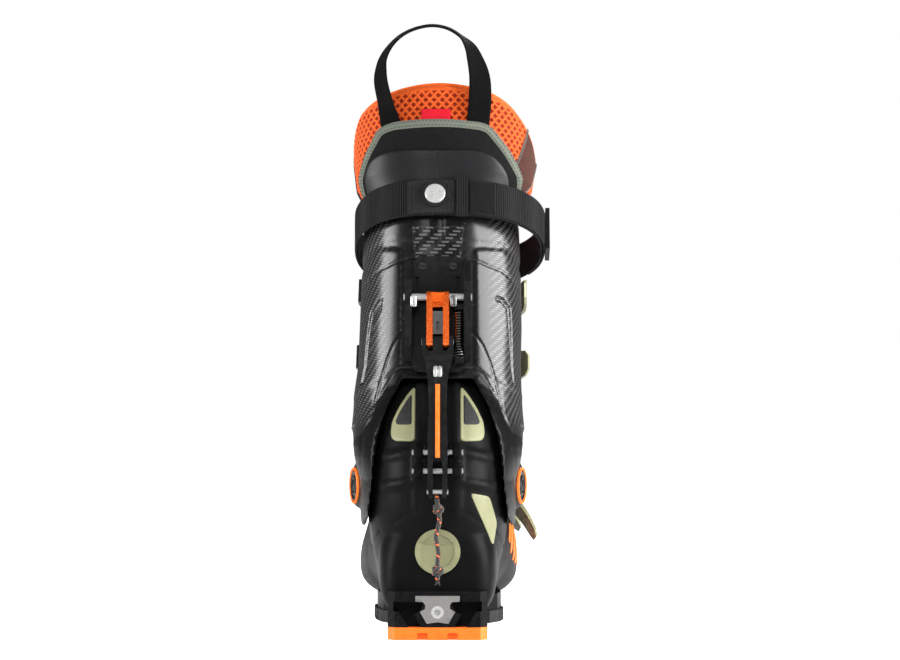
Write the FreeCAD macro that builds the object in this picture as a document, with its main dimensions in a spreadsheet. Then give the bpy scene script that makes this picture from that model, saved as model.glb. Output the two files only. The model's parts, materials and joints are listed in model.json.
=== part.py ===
"""An alpine touring ski boot for the right foot, as a parametric assembly of separate pieces.

Frame: millimetres, +Z up, +Y towards the toe, +X towards the outer (lateral) side of the foot.
The origin is on the ground under the mid-sole mark. The cuff turns about the ankle axis, which runs along X.
Everything fixed to the lower shell stays inside a barrel around that axis, and everything fixed to the cuff
stays outside it, so that the cuff can lean both ways with the lock down.
"""

import FreeCAD
import Part
import Sketcher
import functools
import math
import os

from FreeCAD import Placement, Rotation, Vector

doc = FreeCAD.newDocument("TouringBoot")

# ----------------------------------------------------------------------------------------
# Driving dimensions
# ----------------------------------------------------------------------------------------

SIZES = {
    # sole
    "sole_length": 297,
    "heel_width": 70,
    "heel_block_length": 72,
    "heel_block_top": 34,
    "tread_height": 9,
    "ball_tread_width": 96,
    # ankle
    "ankle_setback": 96,
    "ankle_height": 104,
    "shell_half_width": 51,
    "shell_back_radius": 88,
    "shell_wall": 4,
    "barrel_radius": 92,
    "side_gap": 1.5,
    "cuff_wall": 4,
    # leg tube of the cuff, in the leaned frame of the leg
    "cuff_lean": 12,
    "leg_centre_back": 7.2,
    "leg_low_half_width": 58.5,
    "leg_top_half_width": 52,
    "leg_low_half_depth": 60.5,
    "leg_top_half_depth": 65.6,
    "leg_low": 55,
    "leg_top": 240,
    # liner
    "liner_wall": 11,
    "foot_liner_wall": 7,
    # ankle pivots
    "stud_radius": 6,
    "stud_head_radius": 10,
    "stud_end": 61.5,
    "ring_radius": 12.5,
    "ring_depth": 3,
    # ski and walk lock
    "frame_pin_back": 77.5,
    "frame_pin_up": 123,
    "knuckle_back": 82.5,
    "knuckle_up": 89,
    "lock_pin_radius": 2.5,
    "frame_bar_inner": 3.7,
    "frame_bar_outer": 8,
    "catch_pin_radius": 1.9,
    "catch_pin_depth": 89.7,
    "catch_low": 14,
    "catch_high": 27,
    "catch_pin_length": 36,
    "boss_radius": 5.5,
    "knuckle_pin_radius": 2.2,
    "boss_inner": 10.2,
    "boss_outer": 17,
    "spring_coil_radius": 2.8,
    "spring_wire": 0.55,
    "spring_length": 34,
    "spring_pitch": 1.9,
    # buckles
    "ear_outer": 8,
    "ear_thickness": 1.8,
    "lever_half_width": 11.2,
    "lever_thickness": 3.2,
    "bail_half_width": 14.2,
    "bail_wire": 1.4,
    "buckle_pin_radius": 1.5,
    "running_gap": 0.05,
    "fit_gap": 0.15,
    # strap and loop
    "strap_width": 28,
    "strap_thickness": 2,
    "loop_width": 20,
    "loop_thickness": 1.8,
    # binding fittings
    "socket_radius": 2.6,
    "socket_depth": 4,
    "toe_fitting_width": 60.5,
    "toe_fitting_setback": 16.5,
    "toe_fitting_height": 18.5,
}

sheet = doc.addObject("Spreadsheet::Sheet", "Sizes")
for row, (alias, value) in enumerate(SIZES.items(), start=1):
    sheet.set(f"A{row}", alias)
    sheet.set(f"B{row}", str(value))
    sheet.setAlias(f"B{row}", alias)
doc.recompute()


def size(alias):
    """The number in a cell of the sheet."""
    return float(sheet.get(alias))


HEEL_END = -size("sole_length") / 2
TOE_END = size("sole_length") / 2
ANKLE = Vector(0, HEEL_END + size("ankle_setback"), size("ankle_height"))
WALL = size("shell_wall")
GAP = size("fit_gap")

# The leg's own frame: origin at the ankle, Z up along the leaning shin.
LEG = Placement(ANKLE, Rotation(Vector(1, 0, 0), -size("cuff_lean")))

nodes = {}


def keep(name, obj):
    """Names an object as a sub-part of the boot."""
    obj.Label = name
    nodes[name] = obj
    return obj


def feature(name, shape):
    """A plain feature that holds a shape built with Part's own functions."""
    obj = doc.addObject("Part::Feature", name)
    obj.Shape = shape
    return obj


# ----------------------------------------------------------------------------------------
# Bound primitives
# ----------------------------------------------------------------------------------------


def bind(obj, **expressions):
    """Ties properties of an object to cells of the sheet."""
    for prop, expression in expressions.items():
        obj.setExpression(prop, str(expression))
    return obj


def box(name, length, width, height, centre, placement=None):
    """A block, its three sizes bound to the sheet, centred on a point of the given frame."""
    obj = bind(doc.addObject("Part::Box", name), Length=length, Width=width, Height=height)
    doc.recompute([obj])
    half = Vector(obj.Length.Value / 2, obj.Width.Value / 2, obj.Height.Value / 2)
    local = Placement(Vector(*centre) - half, Rotation())
    obj.Placement = (placement or Placement()).multiply(local)
    return obj


AXES = {"x": Rotation(Vector(0, 1, 0), 90), "y": Rotation(Vector(1, 0, 0), -90), "z": Rotation()}


def cylinder(name, radius, height, centre, axis="x", placement=None):
    """A round bar, its sizes bound to the sheet, centred on a point, along x, y or z of the given frame."""
    obj = bind(doc.addObject("Part::Cylinder", name), Radius=radius, Height=height)
    doc.recompute([obj])
    turn = AXES[axis]
    start = Vector(*centre) - turn.multVec(Vector(0, 0, obj.Height.Value / 2))
    obj.Placement = (placement or Placement()).multiply(Placement(start, turn))
    return obj


def cut(name, base, tool):
    obj = doc.addObject("Part::Cut", name)
    obj.Base = base
    obj.Tool = tool
    return obj


def fuse(name, *parts):
    obj = doc.addObject("Part::MultiFuse", name)
    obj.Shapes = list(parts)
    return obj


def common(name, *parts):
    obj = doc.addObject("Part::MultiCommon", name)
    obj.Shapes = list(parts)
    return obj


def group(name, *parts):
    """Several separate solids that share one node."""
    obj = doc.addObject("Part::Compound", name)
    obj.Links = list(parts)
    return obj


# ----------------------------------------------------------------------------------------
# Sketched bodies
# ----------------------------------------------------------------------------------------


def body(name, placement=None):
    obj = doc.addObject("PartDesign::Body", name)
    if placement:
        obj.Placement = placement
    return obj


def sketch(owner, name, plane, points=(), circles=(), offset=0.0):
    """A sketch on one of the body's planes, its corners and circles placed and sized by expressions."""
    obj = owner.newObject("Sketcher::SketchObject", name)
    origin = next(f for f in owner.Origin.OriginFeatures if f.Role == plane)
    obj.AttachmentSupport = [(origin, "")]
    obj.MapMode = "FlatFace"
    obj.AttachmentOffset = Placement(Vector(0, 0, offset), Rotation())
    doc.recompute([obj])
    numbers = [[float(sheet.evalExpression(str(c))) for c in point] for point in points]
    for start, end in zip(numbers, numbers[1:] + numbers[:1]):
        obj.addGeometry(Part.LineSegment(Vector(*start, 0), Vector(*end, 0)), False)
    count = len(numbers)
    for index in range(count):
        obj.addConstraint(Sketcher.Constraint("Coincident", index, 2, (index + 1) % count, 1))
    for index, (point, values) in enumerate(zip(points, numbers)):
        pin_point(obj, index, 1, point, values)
    for x, y, radius in circles:
        values = [float(sheet.evalExpression(str(c))) for c in (x, y, radius)]
        circle = Part.Circle(Vector(values[0], values[1], 0), Vector(0, 0, 1), values[2])
        index = obj.addGeometry(circle, False)
        pin_point(obj, index, 3, (x, y), values)
        bound = obj.addConstraint(Sketcher.Constraint("Radius", index, values[2]))
        obj.setExpression(f"Constraints[{bound}]", str(radius))
    return obj


def pin_point(obj, index, end, expressions, values):
    """Holds one sketch point at two distances from the sketch's origin, each bound to its expression."""
    for kind, expression, value in zip(("DistanceX", "DistanceY"), expressions, values):
        bound = obj.addConstraint(Sketcher.Constraint(kind, -1, 1, index, end, value))
        obj.setExpression(f"Constraints[{bound}]", str(expression))


def pad(owner, profile, length, middle=True):
    obj = owner.newObject("PartDesign::Pad", "Pad")
    obj.Profile = profile
    obj.Midplane = middle
    obj.setExpression("Length", str(length))
    profile.Visibility = False
    return obj


# ----------------------------------------------------------------------------------------
# The boot's three closed volumes: foot, ankle barrel and leg
# ----------------------------------------------------------------------------------------


def superellipse(half_x, half_y, power, angle):
    """The point of a superellipse that lies in a given direction from its centre."""
    across, up = math.cos(angle), math.sin(angle)
    reach = ((abs(across) / half_x) ** power + (abs(up) / half_y) ** power) ** (-1 / power)
    return reach * across, reach * up


def closed_curve(points):
    curve = Part.BSplineCurve()
    curve.interpolate(points, PeriodicFlag=True)
    return Part.Wire([curve.toShape()])


def open_curve(points):
    curve = Part.BSplineCurve()
    curve.interpolate(points)
    return curve.toShape()


# Place along the foot, centre across, half width, top and bottom of the shell's outside.
FOOT_STATIONS = [
    (-131.5, 0, 27, 80, 22),
    (-126, 0, 36, 90, 15),
    (-100, 0, 42, 110, 11),
    (-60, 0, 44, 132, 12),
    (-20, 0, 47, 136, 19),
    (12, 1, 53, 124, 20),
    (45, 1, 58, 102, 15),
    (75, -1, 58.5, 88, 15),
    (105, -4, 52, 76, 18),
    (130, -6, 37, 65, 24),
    (141, -7, 25, 58, 27),
    (146, -7, 12, 50, 31),
]
FOOT_MIDDLE = 9
WIDEST_SHARE = 0.38
SECTION_POINTS = 24


@functools.cache
def foot_volume(grow):
    """The clog: cross-sections along the foot, grown or shrunk all round."""
    stretch = 1 + grow / (TOE_END - FOOT_MIDDLE)
    wires = []
    for along, centre, half_width, top, bottom in FOOT_STATIONS:
        widest = bottom + WIDEST_SHARE * (top - bottom)
        ring = []
        for step in range(SECTION_POINTS):
            angle = 2 * math.pi * step / SECTION_POINTS - math.pi / 2
            upper = math.sin(angle) > 0
            half_height = max(2, grow + (top - widest if upper else widest - bottom))
            x, z = superellipse(max(2, half_width + grow), half_height, 2.2 if upper else 3.2, angle)
            ring.append(Vector(centre + x, FOOT_MIDDLE + (along - FOOT_MIDDLE) * stretch, widest + z))
        wires.append(closed_curve(ring))
    return Part.makeLoft(wires, True, False)


def ankle_profile(side, back):
    """Half the ankle barrel's section, a superellipse, grown sideways and radially."""
    half_width = size("shell_half_width") + side
    radius = size("shell_back_radius") + back
    arc = []
    for step in range(SECTION_POINTS + 1):
        x, r = superellipse(half_width, radius, 2.6, math.pi * step / SECTION_POINTS)
        arc.append(Vector(x, 0, r))
    return Part.Face(Part.Wire([open_curve(arc), Part.LineSegment(arc[-1], arc[0]).toShape()]))


@functools.cache
def ankle_volume(side, back):
    """The ankle barrel: its section turned about the ankle axis."""
    solid = ankle_profile(side, back).revolve(Vector(), Vector(1, 0, 0), 360)
    solid.translate(ANKLE)
    return solid


def leg_half_sizes(height):
    """Half width and half depth of the cuff's outside at a height up the leg."""
    share = (height - size("leg_low")) / (size("leg_top") - size("leg_low"))
    width = size("leg_low_half_width") + share * (size("leg_top_half_width") - size("leg_low_half_width"))
    depth = size("leg_low_half_depth") + share * (size("leg_top_half_depth") - size("leg_low_half_depth"))
    return width, depth


def tube(stations, ruled=False, power=2.3):
    """A tube along the leg through (height, half width, half depth) stations."""
    wires = []
    for height, half_width, half_depth in stations:
        ring = []
        for step in range(SECTION_POINTS):
            x, y = superellipse(half_width, half_depth, power, 2 * math.pi * step / SECTION_POINTS)
            ring.append(Vector(x, y - size("leg_centre_back"), height))
        wires.append(closed_curve(ring))
    solid = Part.makeLoft(wires, True, ruled)
    solid.Placement = LEG
    return solid


@functools.cache
def leg_volume(grow, low=40, high=250):
    """The cuff's leg tube, grown or shrunk all round."""
    heights = [low + (high - low) * step / 3 for step in range(4)]
    return tube([(h, *(half + grow for half in leg_half_sizes(h))) for h in heights])


def prism(points, plane, low, high, placement=None):
    """A straight prism over a polygon in the xz, yz or xy plane, between two depths along the third axis."""
    place = {
        "xz": lambda u, v, w: Vector(u, w, v),
        "yz": lambda u, v, w: Vector(w, u, v),
        "xy": lambda u, v, w: Vector(u, v, w),
    }[plane]
    corners = [place(u, v, low) for u, v in points]
    face = Part.Face(Part.makePolygon(corners + corners[:1]))
    solid = face.extrude(place(0, 0, high - low) - place(0, 0, 0))
    if placement:
        solid.Placement = placement
    return solid


def barrel(radius):
    """A plain cylinder about the ankle axis, wider than the boot."""
    width = 2 * size("ball_tread_width")
    return Part.makeCylinder(radius, width, ANKLE - Vector(width / 2, 0, 0), Vector(1, 0, 0))


def mirrored(shape):
    return shape.mirror(Vector(), Vector(1, 0, 0))


AT_ANKLE = Placement(ANKLE, Rotation())

# ----------------------------------------------------------------------------------------
# Lower shell
# ----------------------------------------------------------------------------------------

SHELL_OUTSIDE = foot_volume(0).fuse(ankle_volume(0, 0))
SHELL_KEEP_OUT = foot_volume(GAP).fuse(ankle_volume(GAP, GAP))
SHELL_INSIDE = foot_volume(-WALL).fuse(ankle_volume(-WALL, -WALL))
RAIL_RISE = 2.2
RIB_RISE = 1.6
WINDOW_RISE = 0.9

# Raised shapes on the heel, seen from behind, measured from the ankle: across and up.
RAIL = [(11.5, 28), (15.5, 28), (14.2, 76), (11.5, 76)]
HEEL_RIBS = [
    [(14, 26), (40, 21), (40, 25.5), (14, 30.5)],
    [(14, 5), (42, 0), (42, 4.5), (14, 9.5)],
    [(12, -18), (16.5, -18), (17, 12), (12, 12)],
]
WINDOW_OUTER = [(15.8, 73), (20.5, 68), (27, 58), (32, 47.5), (33, 38), (31.5, 34.5), (15.8, 34.5)]
WINDOW_INNER = [(18, 67), (21, 63), (26.5, 54), (29.5, 47), (28.5, 45.5), (18, 45.5)]
MESH_SHARE = 0.94


def on_heel(points, rise, sink=1.0):
    """The band between a sunk and a raised copy of the ankle barrel, under a polygon seen from behind."""
    column = prism(points, "xz", -2 * size("shell_back_radius"), -20, AT_ANKLE)
    band = ankle_volume(rise, rise).cut(ankle_volume(-sink, -sink))
    return column.common(band)


def lower_shell():
    shell = SHELL_OUTSIDE
    for points, rise in [(RAIL, RAIL_RISE)] + [(rib, RIB_RISE) for rib in HEEL_RIBS]:
        raised = on_heel(points, rise)
        shell = shell.fuse(raised).fuse(mirrored(raised))
    for up in (size("catch_low"), size("catch_high")):
        back = -math.sqrt(size("catch_pin_depth") ** 2 - up**2)
        for side in (1, -1):
            boss = Part.makeCylinder(
                size("boss_radius"),
                size("boss_outer") - size("boss_inner"),
                ANKLE + Vector(side * size("boss_inner"), back, up),
                Vector(side, 0, 0),
            )
            web = prism([(back, up - 5), (back, up + 5), (-70, up + 5), (-70, up - 5)], "yz",
                        side * size("boss_inner"), side * size("boss_outer"), AT_ANKLE)
            shell = shell.fuse(boss).fuse(web)
    opening = tube([(20, 43, 44), (70, 44, 46), (130, 45, 47)])
    shell = shell.cut(SHELL_INSIDE).cut(opening)
    for up in (size("catch_low"), size("catch_high")):
        shell = shell.cut(catch_pin_shape(up, size("running_gap")))
    studs = Part.makeCylinder(size("stud_radius") + 0.02, 140, ANKLE - Vector(70, 0, 0), Vector(1, 0, 0))
    return shell.cut(studs)


def catch_pin_shape(up, grow=0.0):
    back = -math.sqrt(size("catch_pin_depth") ** 2 - up**2)
    length = size("catch_pin_length")
    start = ANKLE + Vector(-length / 2, back, up)
    return Part.makeCylinder(size("catch_pin_radius") + grow, length, start, Vector(1, 0, 0))


keep("lower_shell", feature("LowerShell", lower_shell()))

catch_pins = [
    cylinder(f"CatchPin{index}", "Sizes.catch_pin_radius", "Sizes.catch_pin_length",
             ANKLE + Vector(0, -math.sqrt(size("catch_pin_depth") ** 2 - up**2), up))
    for index, up in enumerate((size("catch_low"), size("catch_high")))
]
keep("catch_pins", group("CatchPins", *catch_pins))


def heel_windows():
    """Two framed panels let into the heel, one each side of the lock."""
    frame = on_heel(WINDOW_OUTER, WINDOW_RISE, sink=-0.1).cut(on_heel(WINDOW_INNER, 5))
    return Part.makeCompound([frame, mirrored(frame)])


def window_meshes():
    """The mesh panels, a little smaller than the openings of their frames."""
    middle_x = sum(x for x, _ in WINDOW_INNER) / len(WINDOW_INNER)
    middle_z = sum(z for _, z in WINDOW_INNER) / len(WINDOW_INNER)
    inner = [(middle_x + (x - middle_x) * MESH_SHARE, middle_z + (z - middle_z) * MESH_SHARE)
             for x, z in WINDOW_INNER]
    panel = on_heel(inner, 0.6, sink=-0.1)
    return Part.makeCompound([panel, mirrored(panel)])


keep("heel_window_frames", feature("HeelWindowFrames", heel_windows()))
keep("heel_window_meshes", feature("HeelWindowMeshes", window_meshes()))

# ----------------------------------------------------------------------------------------
# Sole
# ----------------------------------------------------------------------------------------


def outline(stations):
    """A closed outline from (along, left, right) stations, up one side and back down the other."""
    right = [(right, along) for along, _, right in stations]
    left = [(left, along) for along, left, _ in reversed(stations)]
    return right + left


def slab(name, points, height, offset):
    """A flat piece padded upwards from a plan outline."""
    piece = body(name)
    profile = sketch(piece, name + "Outline", "XY_Plane", points, offset=offset)
    pad(piece, profile, height, middle=False)
    return piece


HEEL_HALF = "Sizes.heel_width / 2"
HEEL_OUTLINE = [
    (HEEL_HALF, HEEL_END + 6), (HEEL_HALF, "{} + Sizes.heel_block_length".format(HEEL_END)),
    ("-" + HEEL_HALF, "{} + Sizes.heel_block_length".format(HEEL_END)), ("-" + HEEL_HALF, HEEL_END + 6),
    ("-" + HEEL_HALF + " + 5", HEEL_END), (HEEL_HALF + " - 5", HEEL_END),
]
BALL_STATIONS = [
    (-2, -36, 38), (14, -43, 46), (36, -47, 49), (62, -48.5, 47), (84, -45, 41), (104, -40, 35),
    (122, -33, 29), (136, -25, 21), (144, -16, 12), (148.5, -8, 4),
]
TOE_STATIONS = [
    (80, -34.5, 34.5), (112, -34.5, 34.5), (124, -32.6, 32.6), (133, -29, 29), (140, -23.5, 23.5),
    (146, -14, 14), (148.5, -5, 5),
]
CHANNEL = [(9, 27), (31, 27), (31, 20), (27, 20), (20.5, 9), (11.5, 9), (16.5, 18), (12.5, 20)]
PLATE = [
    (0, 31), (15.5, 31), (15.5, 27), (10, 26.6), (8.7, 24.5), (8.7, 22), (12.4, 19.8), (7.6, 11.5), (0, 12.6),
]


def both_sides(points):
    """A right-hand half outline that starts and ends on the centre line, closed by its mirror image."""
    return points + [(-x, z) for x, z in reversed(points) if x > 0]


heel_rise = "Sizes.heel_block_top - Sizes.tread_height"
heel_raw = slab("HeelBlockBody", HEEL_OUTLINE, heel_rise, size("tread_height"))
channels = Part.makeCompound([
    prism([(s * x, z) for x, z in CHANNEL], "xz", HEEL_END - 1, HEEL_END + 9) for s in (1, -1)
])
plate_seat = prism(both_sides(PLATE), "xz", HEEL_END - 1, HEEL_END + 5 + GAP)
heel_tools = fuse("HeelTools", feature("Channels", channels), feature("PlateSeat", plate_seat),
                  feature("ShellSeat", SHELL_KEEP_OUT))
keep("heel_block", cut("HeelBlock", heel_raw, heel_tools))

plate_body = body("HeelPlateBody")
plate_profile = sketch(plate_body, "PlateProfile", "XZ_Plane", both_sides(PLATE), offset=-(HEEL_END + 2.5))
pad(plate_body, plate_profile, "5")
screw_hole = cylinder("HeelScrewHole", "4.6", "12", (0, HEEL_END + 2, 19.5), "y")
keep("heel_binding_plate", cut("HeelPlate", plate_body, screw_hole))

screw_head = cylinder("HeelScrewHead", "4.5", "4", (0, HEEL_END + 2.2, 19.5), "y")
screw_socket = bind(doc.addObject("Part::Prism", "HeelScrewSocket"), Circumradius="2.3", Height="3")
screw_socket.Placement = Placement(Vector(0, HEEL_END - 0.5, 19.5), AXES["y"])
keep("heel_plate_screw", cut("HeelScrew", screw_head, screw_socket))

heel_tread_raw = slab("HeelTreadBody", HEEL_OUTLINE, "Sizes.tread_height - 0.05", 0)
heel_grooves = [
    box(f"HeelGroove{index}", "7", "4", "6", (side * 10.5, HEEL_END + 1, 2))
    for index, side in enumerate((1, -1))
]
heel_grooves += [
    box(f"HeelCross{index}", "50", "5", "5", (0, HEEL_END + 22 + 14 * index, 1)) for index in range(4)
]
keep("heel_tread", cut("HeelTread", heel_tread_raw, fuse("HeelGrooves", *heel_grooves)))

ball_raw = slab("BallTreadBody", outline(BALL_STATIONS), "Sizes.tread_height - 0.05", 0)
rocker = box("Rocker", "140", "60", "20", (0, 0, 0))
rocker.Placement = Placement(Vector(-70, 112, 0), Rotation(Vector(1, 0, 0), 11)).multiply(
    Placement(Vector(0, 0, -20), Rotation()))
ball_grooves = [
    box(f"BallCross{index}", "70", "5", "5", (0, 16 + 15 * index, 1)) for index in range(7)
]
ball_grooves += [
    box(f"BallEdge{index}", "9", "2.6", "14", (side * 49, 8 + 7 * step, 3))
    for index, (side, step) in enumerate((s, k) for s in (1, -1) for k in range(8))
]
keep("forefoot_tread", cut("ForefootTread", ball_raw, fuse("BallTools", rocker, *ball_grooves)))

toe_raw = slab("ToeBlockBody", outline(TOE_STATIONS), "18", size("tread_height"))
ball_fill = slab("BallFillBody", outline([(a, l + 2, r - 2) for a, l, r in BALL_STATIONS[:6]]), "12",
                 size("tread_height"))
FITTING = (0, TOE_END - size("toe_fitting_setback"), size("toe_fitting_height"))
toe_seat = box("ToeSeat", "Sizes.toe_fitting_width + 4", "9.1", "9.1", FITTING)
toe_seat_core = fuse("ToeTools", toe_seat, feature("ShellSeatToe", SHELL_KEEP_OUT))
keep("toe_block", cut("ToeBlock", fuse("ToeSole", toe_raw, ball_fill), toe_seat_core))

toe_bar = box("ToeBar", "Sizes.toe_fitting_width", "9", "9", FITTING)
sockets = [
    cylinder(f"Socket{index}", "Sizes.socket_radius", "2 * Sizes.socket_depth",
             Vector(*FITTING) + Vector(side * size("toe_fitting_width") / 2, 0, 0))
    for index, side in enumerate((1, -1))
]
keep("toe_binding_fitting", cut("ToeFitting", toe_bar, fuse("Sockets", *sockets)))

# ----------------------------------------------------------------------------------------
# Inside the shell: board, footbed and the foot part of the liner
# ----------------------------------------------------------------------------------------

BOARD_TOP = 30
BED_TOP = 41
BOARD_SIDE = [(-140, 0), (-140, BOARD_TOP), (60, BOARD_TOP - 4), (140, BOARD_TOP - 2), (140, 0)]
BED_SIDE = [(-140, BOARD_TOP + 7.6), (-140, BED_TOP + 1), (60, BED_TOP - 4), (140, BED_TOP - 2),
            (140, BOARD_TOP + 6), (60, BOARD_TOP + 4)]
FOOT_INSIDE = -WALL - size("foot_liner_wall")
board_shape = foot_volume(-WALL - 0.6).common(prism(BOARD_SIDE, "yz", -80, 80))
bed_shape = foot_volume(FOOT_INSIDE - 0.8).common(prism(BED_SIDE, "yz", -80, 80))
keep("boot_board", feature("BootBoard", board_shape))
keep("footbed", feature("Footbed", bed_shape))


def ankle_in_thirds(grow):
    """The ankle barrel with its turned surface in three, so that no face of the liner closes on itself."""
    third = ankle_profile(grow, grow).revolve(Vector(), Vector(1, 0, 0), 120)
    barrel = third
    for turn in (120, 240):
        following = third.copy()
        following.rotate(Vector(), Vector(1, 0, 0), turn)
        barrel = barrel.fuse(following)
    barrel.translate(ANKLE)
    return barrel


def liner_foot():
    """The liner's foot, round the footbed, open where the leg goes in."""
    lining = -WALL - 0.8
    leg_way = tube([(20, 33, 34), (70, 34, 36), (130, 35, 37)])
    below = [(-160, -10), (-160, BOARD_TOP + 0.5), (60, BOARD_TOP - 3.5), (160, BOARD_TOP - 1.5), (160, -10)]
    foot = foot_volume(lining).fuse(ankle_in_thirds(lining))
    foot = foot.cut(foot_volume(FOOT_INSIDE)).cut(ankle_in_thirds(FOOT_INSIDE))
    return foot.cut(prism(below, "yz", -90, 90)).cut(leg_way).cut(bed_shape)


keep("liner_foot", feature("LinerFoot", liner_foot()))

# ----------------------------------------------------------------------------------------
# Ankle pivots
# ----------------------------------------------------------------------------------------

STUD_HEAD_INNER = 59.6
PIVOT_BOSS_OUTER = 59.5


def pivot_cylinders(radius, inner, outer):
    """A cylinder on the ankle axis on each side of the boot."""
    return Part.makeCompound([
        Part.makeCylinder(radius, outer - inner, ANKLE + Vector(side * inner, 0, 0), Vector(side, 0, 0))
        for side in (1, -1)
    ])


def pivot_studs():
    shaft = pivot_cylinders(size("stud_radius"), size("shell_half_width") - WALL, STUD_HEAD_INNER + 0.5)
    head = pivot_cylinders(size("stud_head_radius"), STUD_HEAD_INNER, size("stud_end"))
    return shaft.fuse(head).cut(pivot_cylinders(2.6, size("stud_end") - 1.2, size("stud_end") + 1))


keep("pivot_studs", feature("PivotStuds", pivot_studs()))
ring_outer = pivot_cylinders(size("ring_radius"), PIVOT_BOSS_OUTER, PIVOT_BOSS_OUTER + size("ring_depth"))
ring_inner = pivot_cylinders(size("stud_head_radius") + 0.3, PIVOT_BOSS_OUTER - 1, PIVOT_BOSS_OUTER + 5)
keep("pivot_rings", feature("PivotRings", ring_outer.cut(ring_inner)))

# ----------------------------------------------------------------------------------------
# Cuff
# ----------------------------------------------------------------------------------------

DOME_SIDE = size("side_gap")
DOME_BACK = size("barrel_radius") - size("shell_back_radius")
CUFF_TOP = [(-90, 200), (-20, 203), (20, 190), (60, 172), (90, 165), (90, 320), (-90, 320)]
CUFF_SIDE_CUT = [
    (-140, -10), (-64, -17), (-20, -28), (18, -26), (40, -2), (52, 30), (66, 68), (150, 72), (150, -150),
    (-140, -150),
]
CUFF_ARCH = [(25, 78), (35, 60), (42, 38), (45, 17), (49, -16), (52, -60)]
FRONT_SLIT = [(4, 60), (4, 92), (22, 182), (26, 240)]


def both_halves(points):
    """A left-right symmetric polygon from its right-hand side."""
    return points + [(-x, z) for x, z in reversed(points)]


def cuff_outside(grow):
    return ankle_volume(DOME_SIDE + size("cuff_wall") + grow, DOME_BACK + size("cuff_wall") + grow).fuse(
        leg_volume(grow)
    )


CUFF_KEEP_OUT = cuff_outside(GAP)
CUFF_TRIM = [
    prism(CUFF_SIDE_CUT, "yz", -100, 100, AT_ANKLE),
    prism(CUFF_TOP, "yz", -100, 100, LEG),
    prism(both_halves(CUFF_ARCH), "xz", -140, -10, AT_ANKLE),
    prism(both_halves(FRONT_SLIT), "xz", 10, 140, LEG),
]

# Raised panels of the cuff seen from behind, in the leg's frame: across and up.
CUFF_PANEL = [(27, 74), (46, 66), (60, 60), (60, 150), (44, 163), (27, 160)]
CUFF_UPPER_PANEL = [(4, 166), (45, 169), (60, 158), (60, 188), (4, 192)]
PANEL_RISE = 0.9


def on_leg(points, rise, sink=1.0, behind=True):
    """The band between a sunk and a raised copy of the leg tube, under a polygon behind or in front."""
    near, far = (-140, -12) if behind else (12, 140)
    column = prism(points, "xz", near, far, LEG)
    return column.common(leg_volume(rise).cut(leg_volume(-sink)))


def cuff_shell():
    wall = size("cuff_wall")
    inside = ankle_volume(DOME_SIDE, DOME_BACK).fuse(leg_volume(-wall))
    raised = [on_leg(panel, PANEL_RISE) for panel in (CUFF_PANEL, CUFF_UPPER_PANEL)]
    raised += [mirrored(panel) for panel in raised]
    cuff = cuff_outside(0).fuse(pivot_cylinders(13.5, 53, PIVOT_BOSS_OUTER))
    for panel in raised:
        cuff = cuff.fuse(panel)
    cuff = cuff.cut(inside)
    for tool in CUFF_TRIM:
        cuff = cuff.cut(tool)
    bores = pivot_cylinders(size("stud_radius") + size("running_gap"), 40, 70)
    return cuff.cut(bores)


keep("cuff_shell", feature("CuffShell", cuff_shell()))

SPOILER = [(42, 176), (54, 190), (52, 206), (46, 219), (36, 228), (26, 232)]
SPOILER_RISE = 2.3


def cuff_spoiler():
    band = leg_volume(SPOILER_RISE).cut(CUFF_KEEP_OUT.fuse(leg_volume(PANEL_RISE + 0.02)))
    return band.common(prism(both_halves(SPOILER), "xz", -140, -20, LEG))


keep("cuff_spoiler", feature("CuffSpoiler", cuff_spoiler()))

# ----------------------------------------------------------------------------------------
# Ski-walk lock: housing, frame, arm and spring
# ----------------------------------------------------------------------------------------


def leg_point(x, back, up):
    """A point of the leg's frame in the boot's frame; back counts rearwards from the ankle."""
    return LEG.multVec(Vector(x, -back, up))


def leg_cylinder(name, radius, height, x, back, up, axis="x"):
    return cylinder(name, radius, height, (x, -back, up), axis, LEG)


PIN_AT = (size("frame_pin_back"), size("frame_pin_up"))
KNUCKLE_AT = (size("knuckle_back"), size("knuckle_up"))
PLATE_BACK = 73
HOUSING = [(0, 154), (13, 154), (17.5, 150), (19, 144), (19, 78), (16, 70), (0, 69)]
RAIL_SIDE = [(60, 78), (74, 78), (82, 86), (82, 134), (76, 150), (60, 152)]
RAIL_INNER, RAIL_OUTER = 18.5, 23.5
SPRING_X = 14.9
PIN_SLACK = 0.04


def leg_prism(points, low, high):
    """A prism across the leg from a (back, up) side outline between two distances across."""
    return prism([(-back, up) for back, up in points], "yz", low, high, LEG)


def lock_housing():
    plate = prism(both_halves(HOUSING), "xz", -PLATE_BACK, -50, LEG)
    rails = [leg_prism(RAIL_SIDE, *sorted((side * RAIL_INNER, side * RAIL_OUTER))) for side in (1, -1)]
    stops = [
        leg_prism([(60, up), (80.2, up), (80.2, up + 4), (60, up + 4)], SPRING_X - 3.1, 19)
        for up in (74.5, 113.5)
    ]
    body_shape = plate
    for piece in rails + stops:
        body_shape = body_shape.fuse(piece)
    cutters = [leg_prism([(71, 128), (90, 128), (90, 139), (71, 139)], *sorted((side * 13.2, side * 15.8)))
               for side in (1, -1)]
    groove = leg_prism([(71.5, 80), (90, 80), (90, 112), (71.5, 112)], -3, 3)
    radius = size("lock_pin_radius") + PIN_SLACK
    hole = Part.makeCylinder(radius, 60, leg_point(-30, *PIN_AT), Vector(1, 0, 0))
    for tool in cutters + [groove, hole, CUFF_KEEP_OUT, leg_volume(PANEL_RISE + GAP)]:
        body_shape = body_shape.cut(tool)
    return body_shape


keep("lock_housing", feature("LockHousing", lock_housing()))

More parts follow.
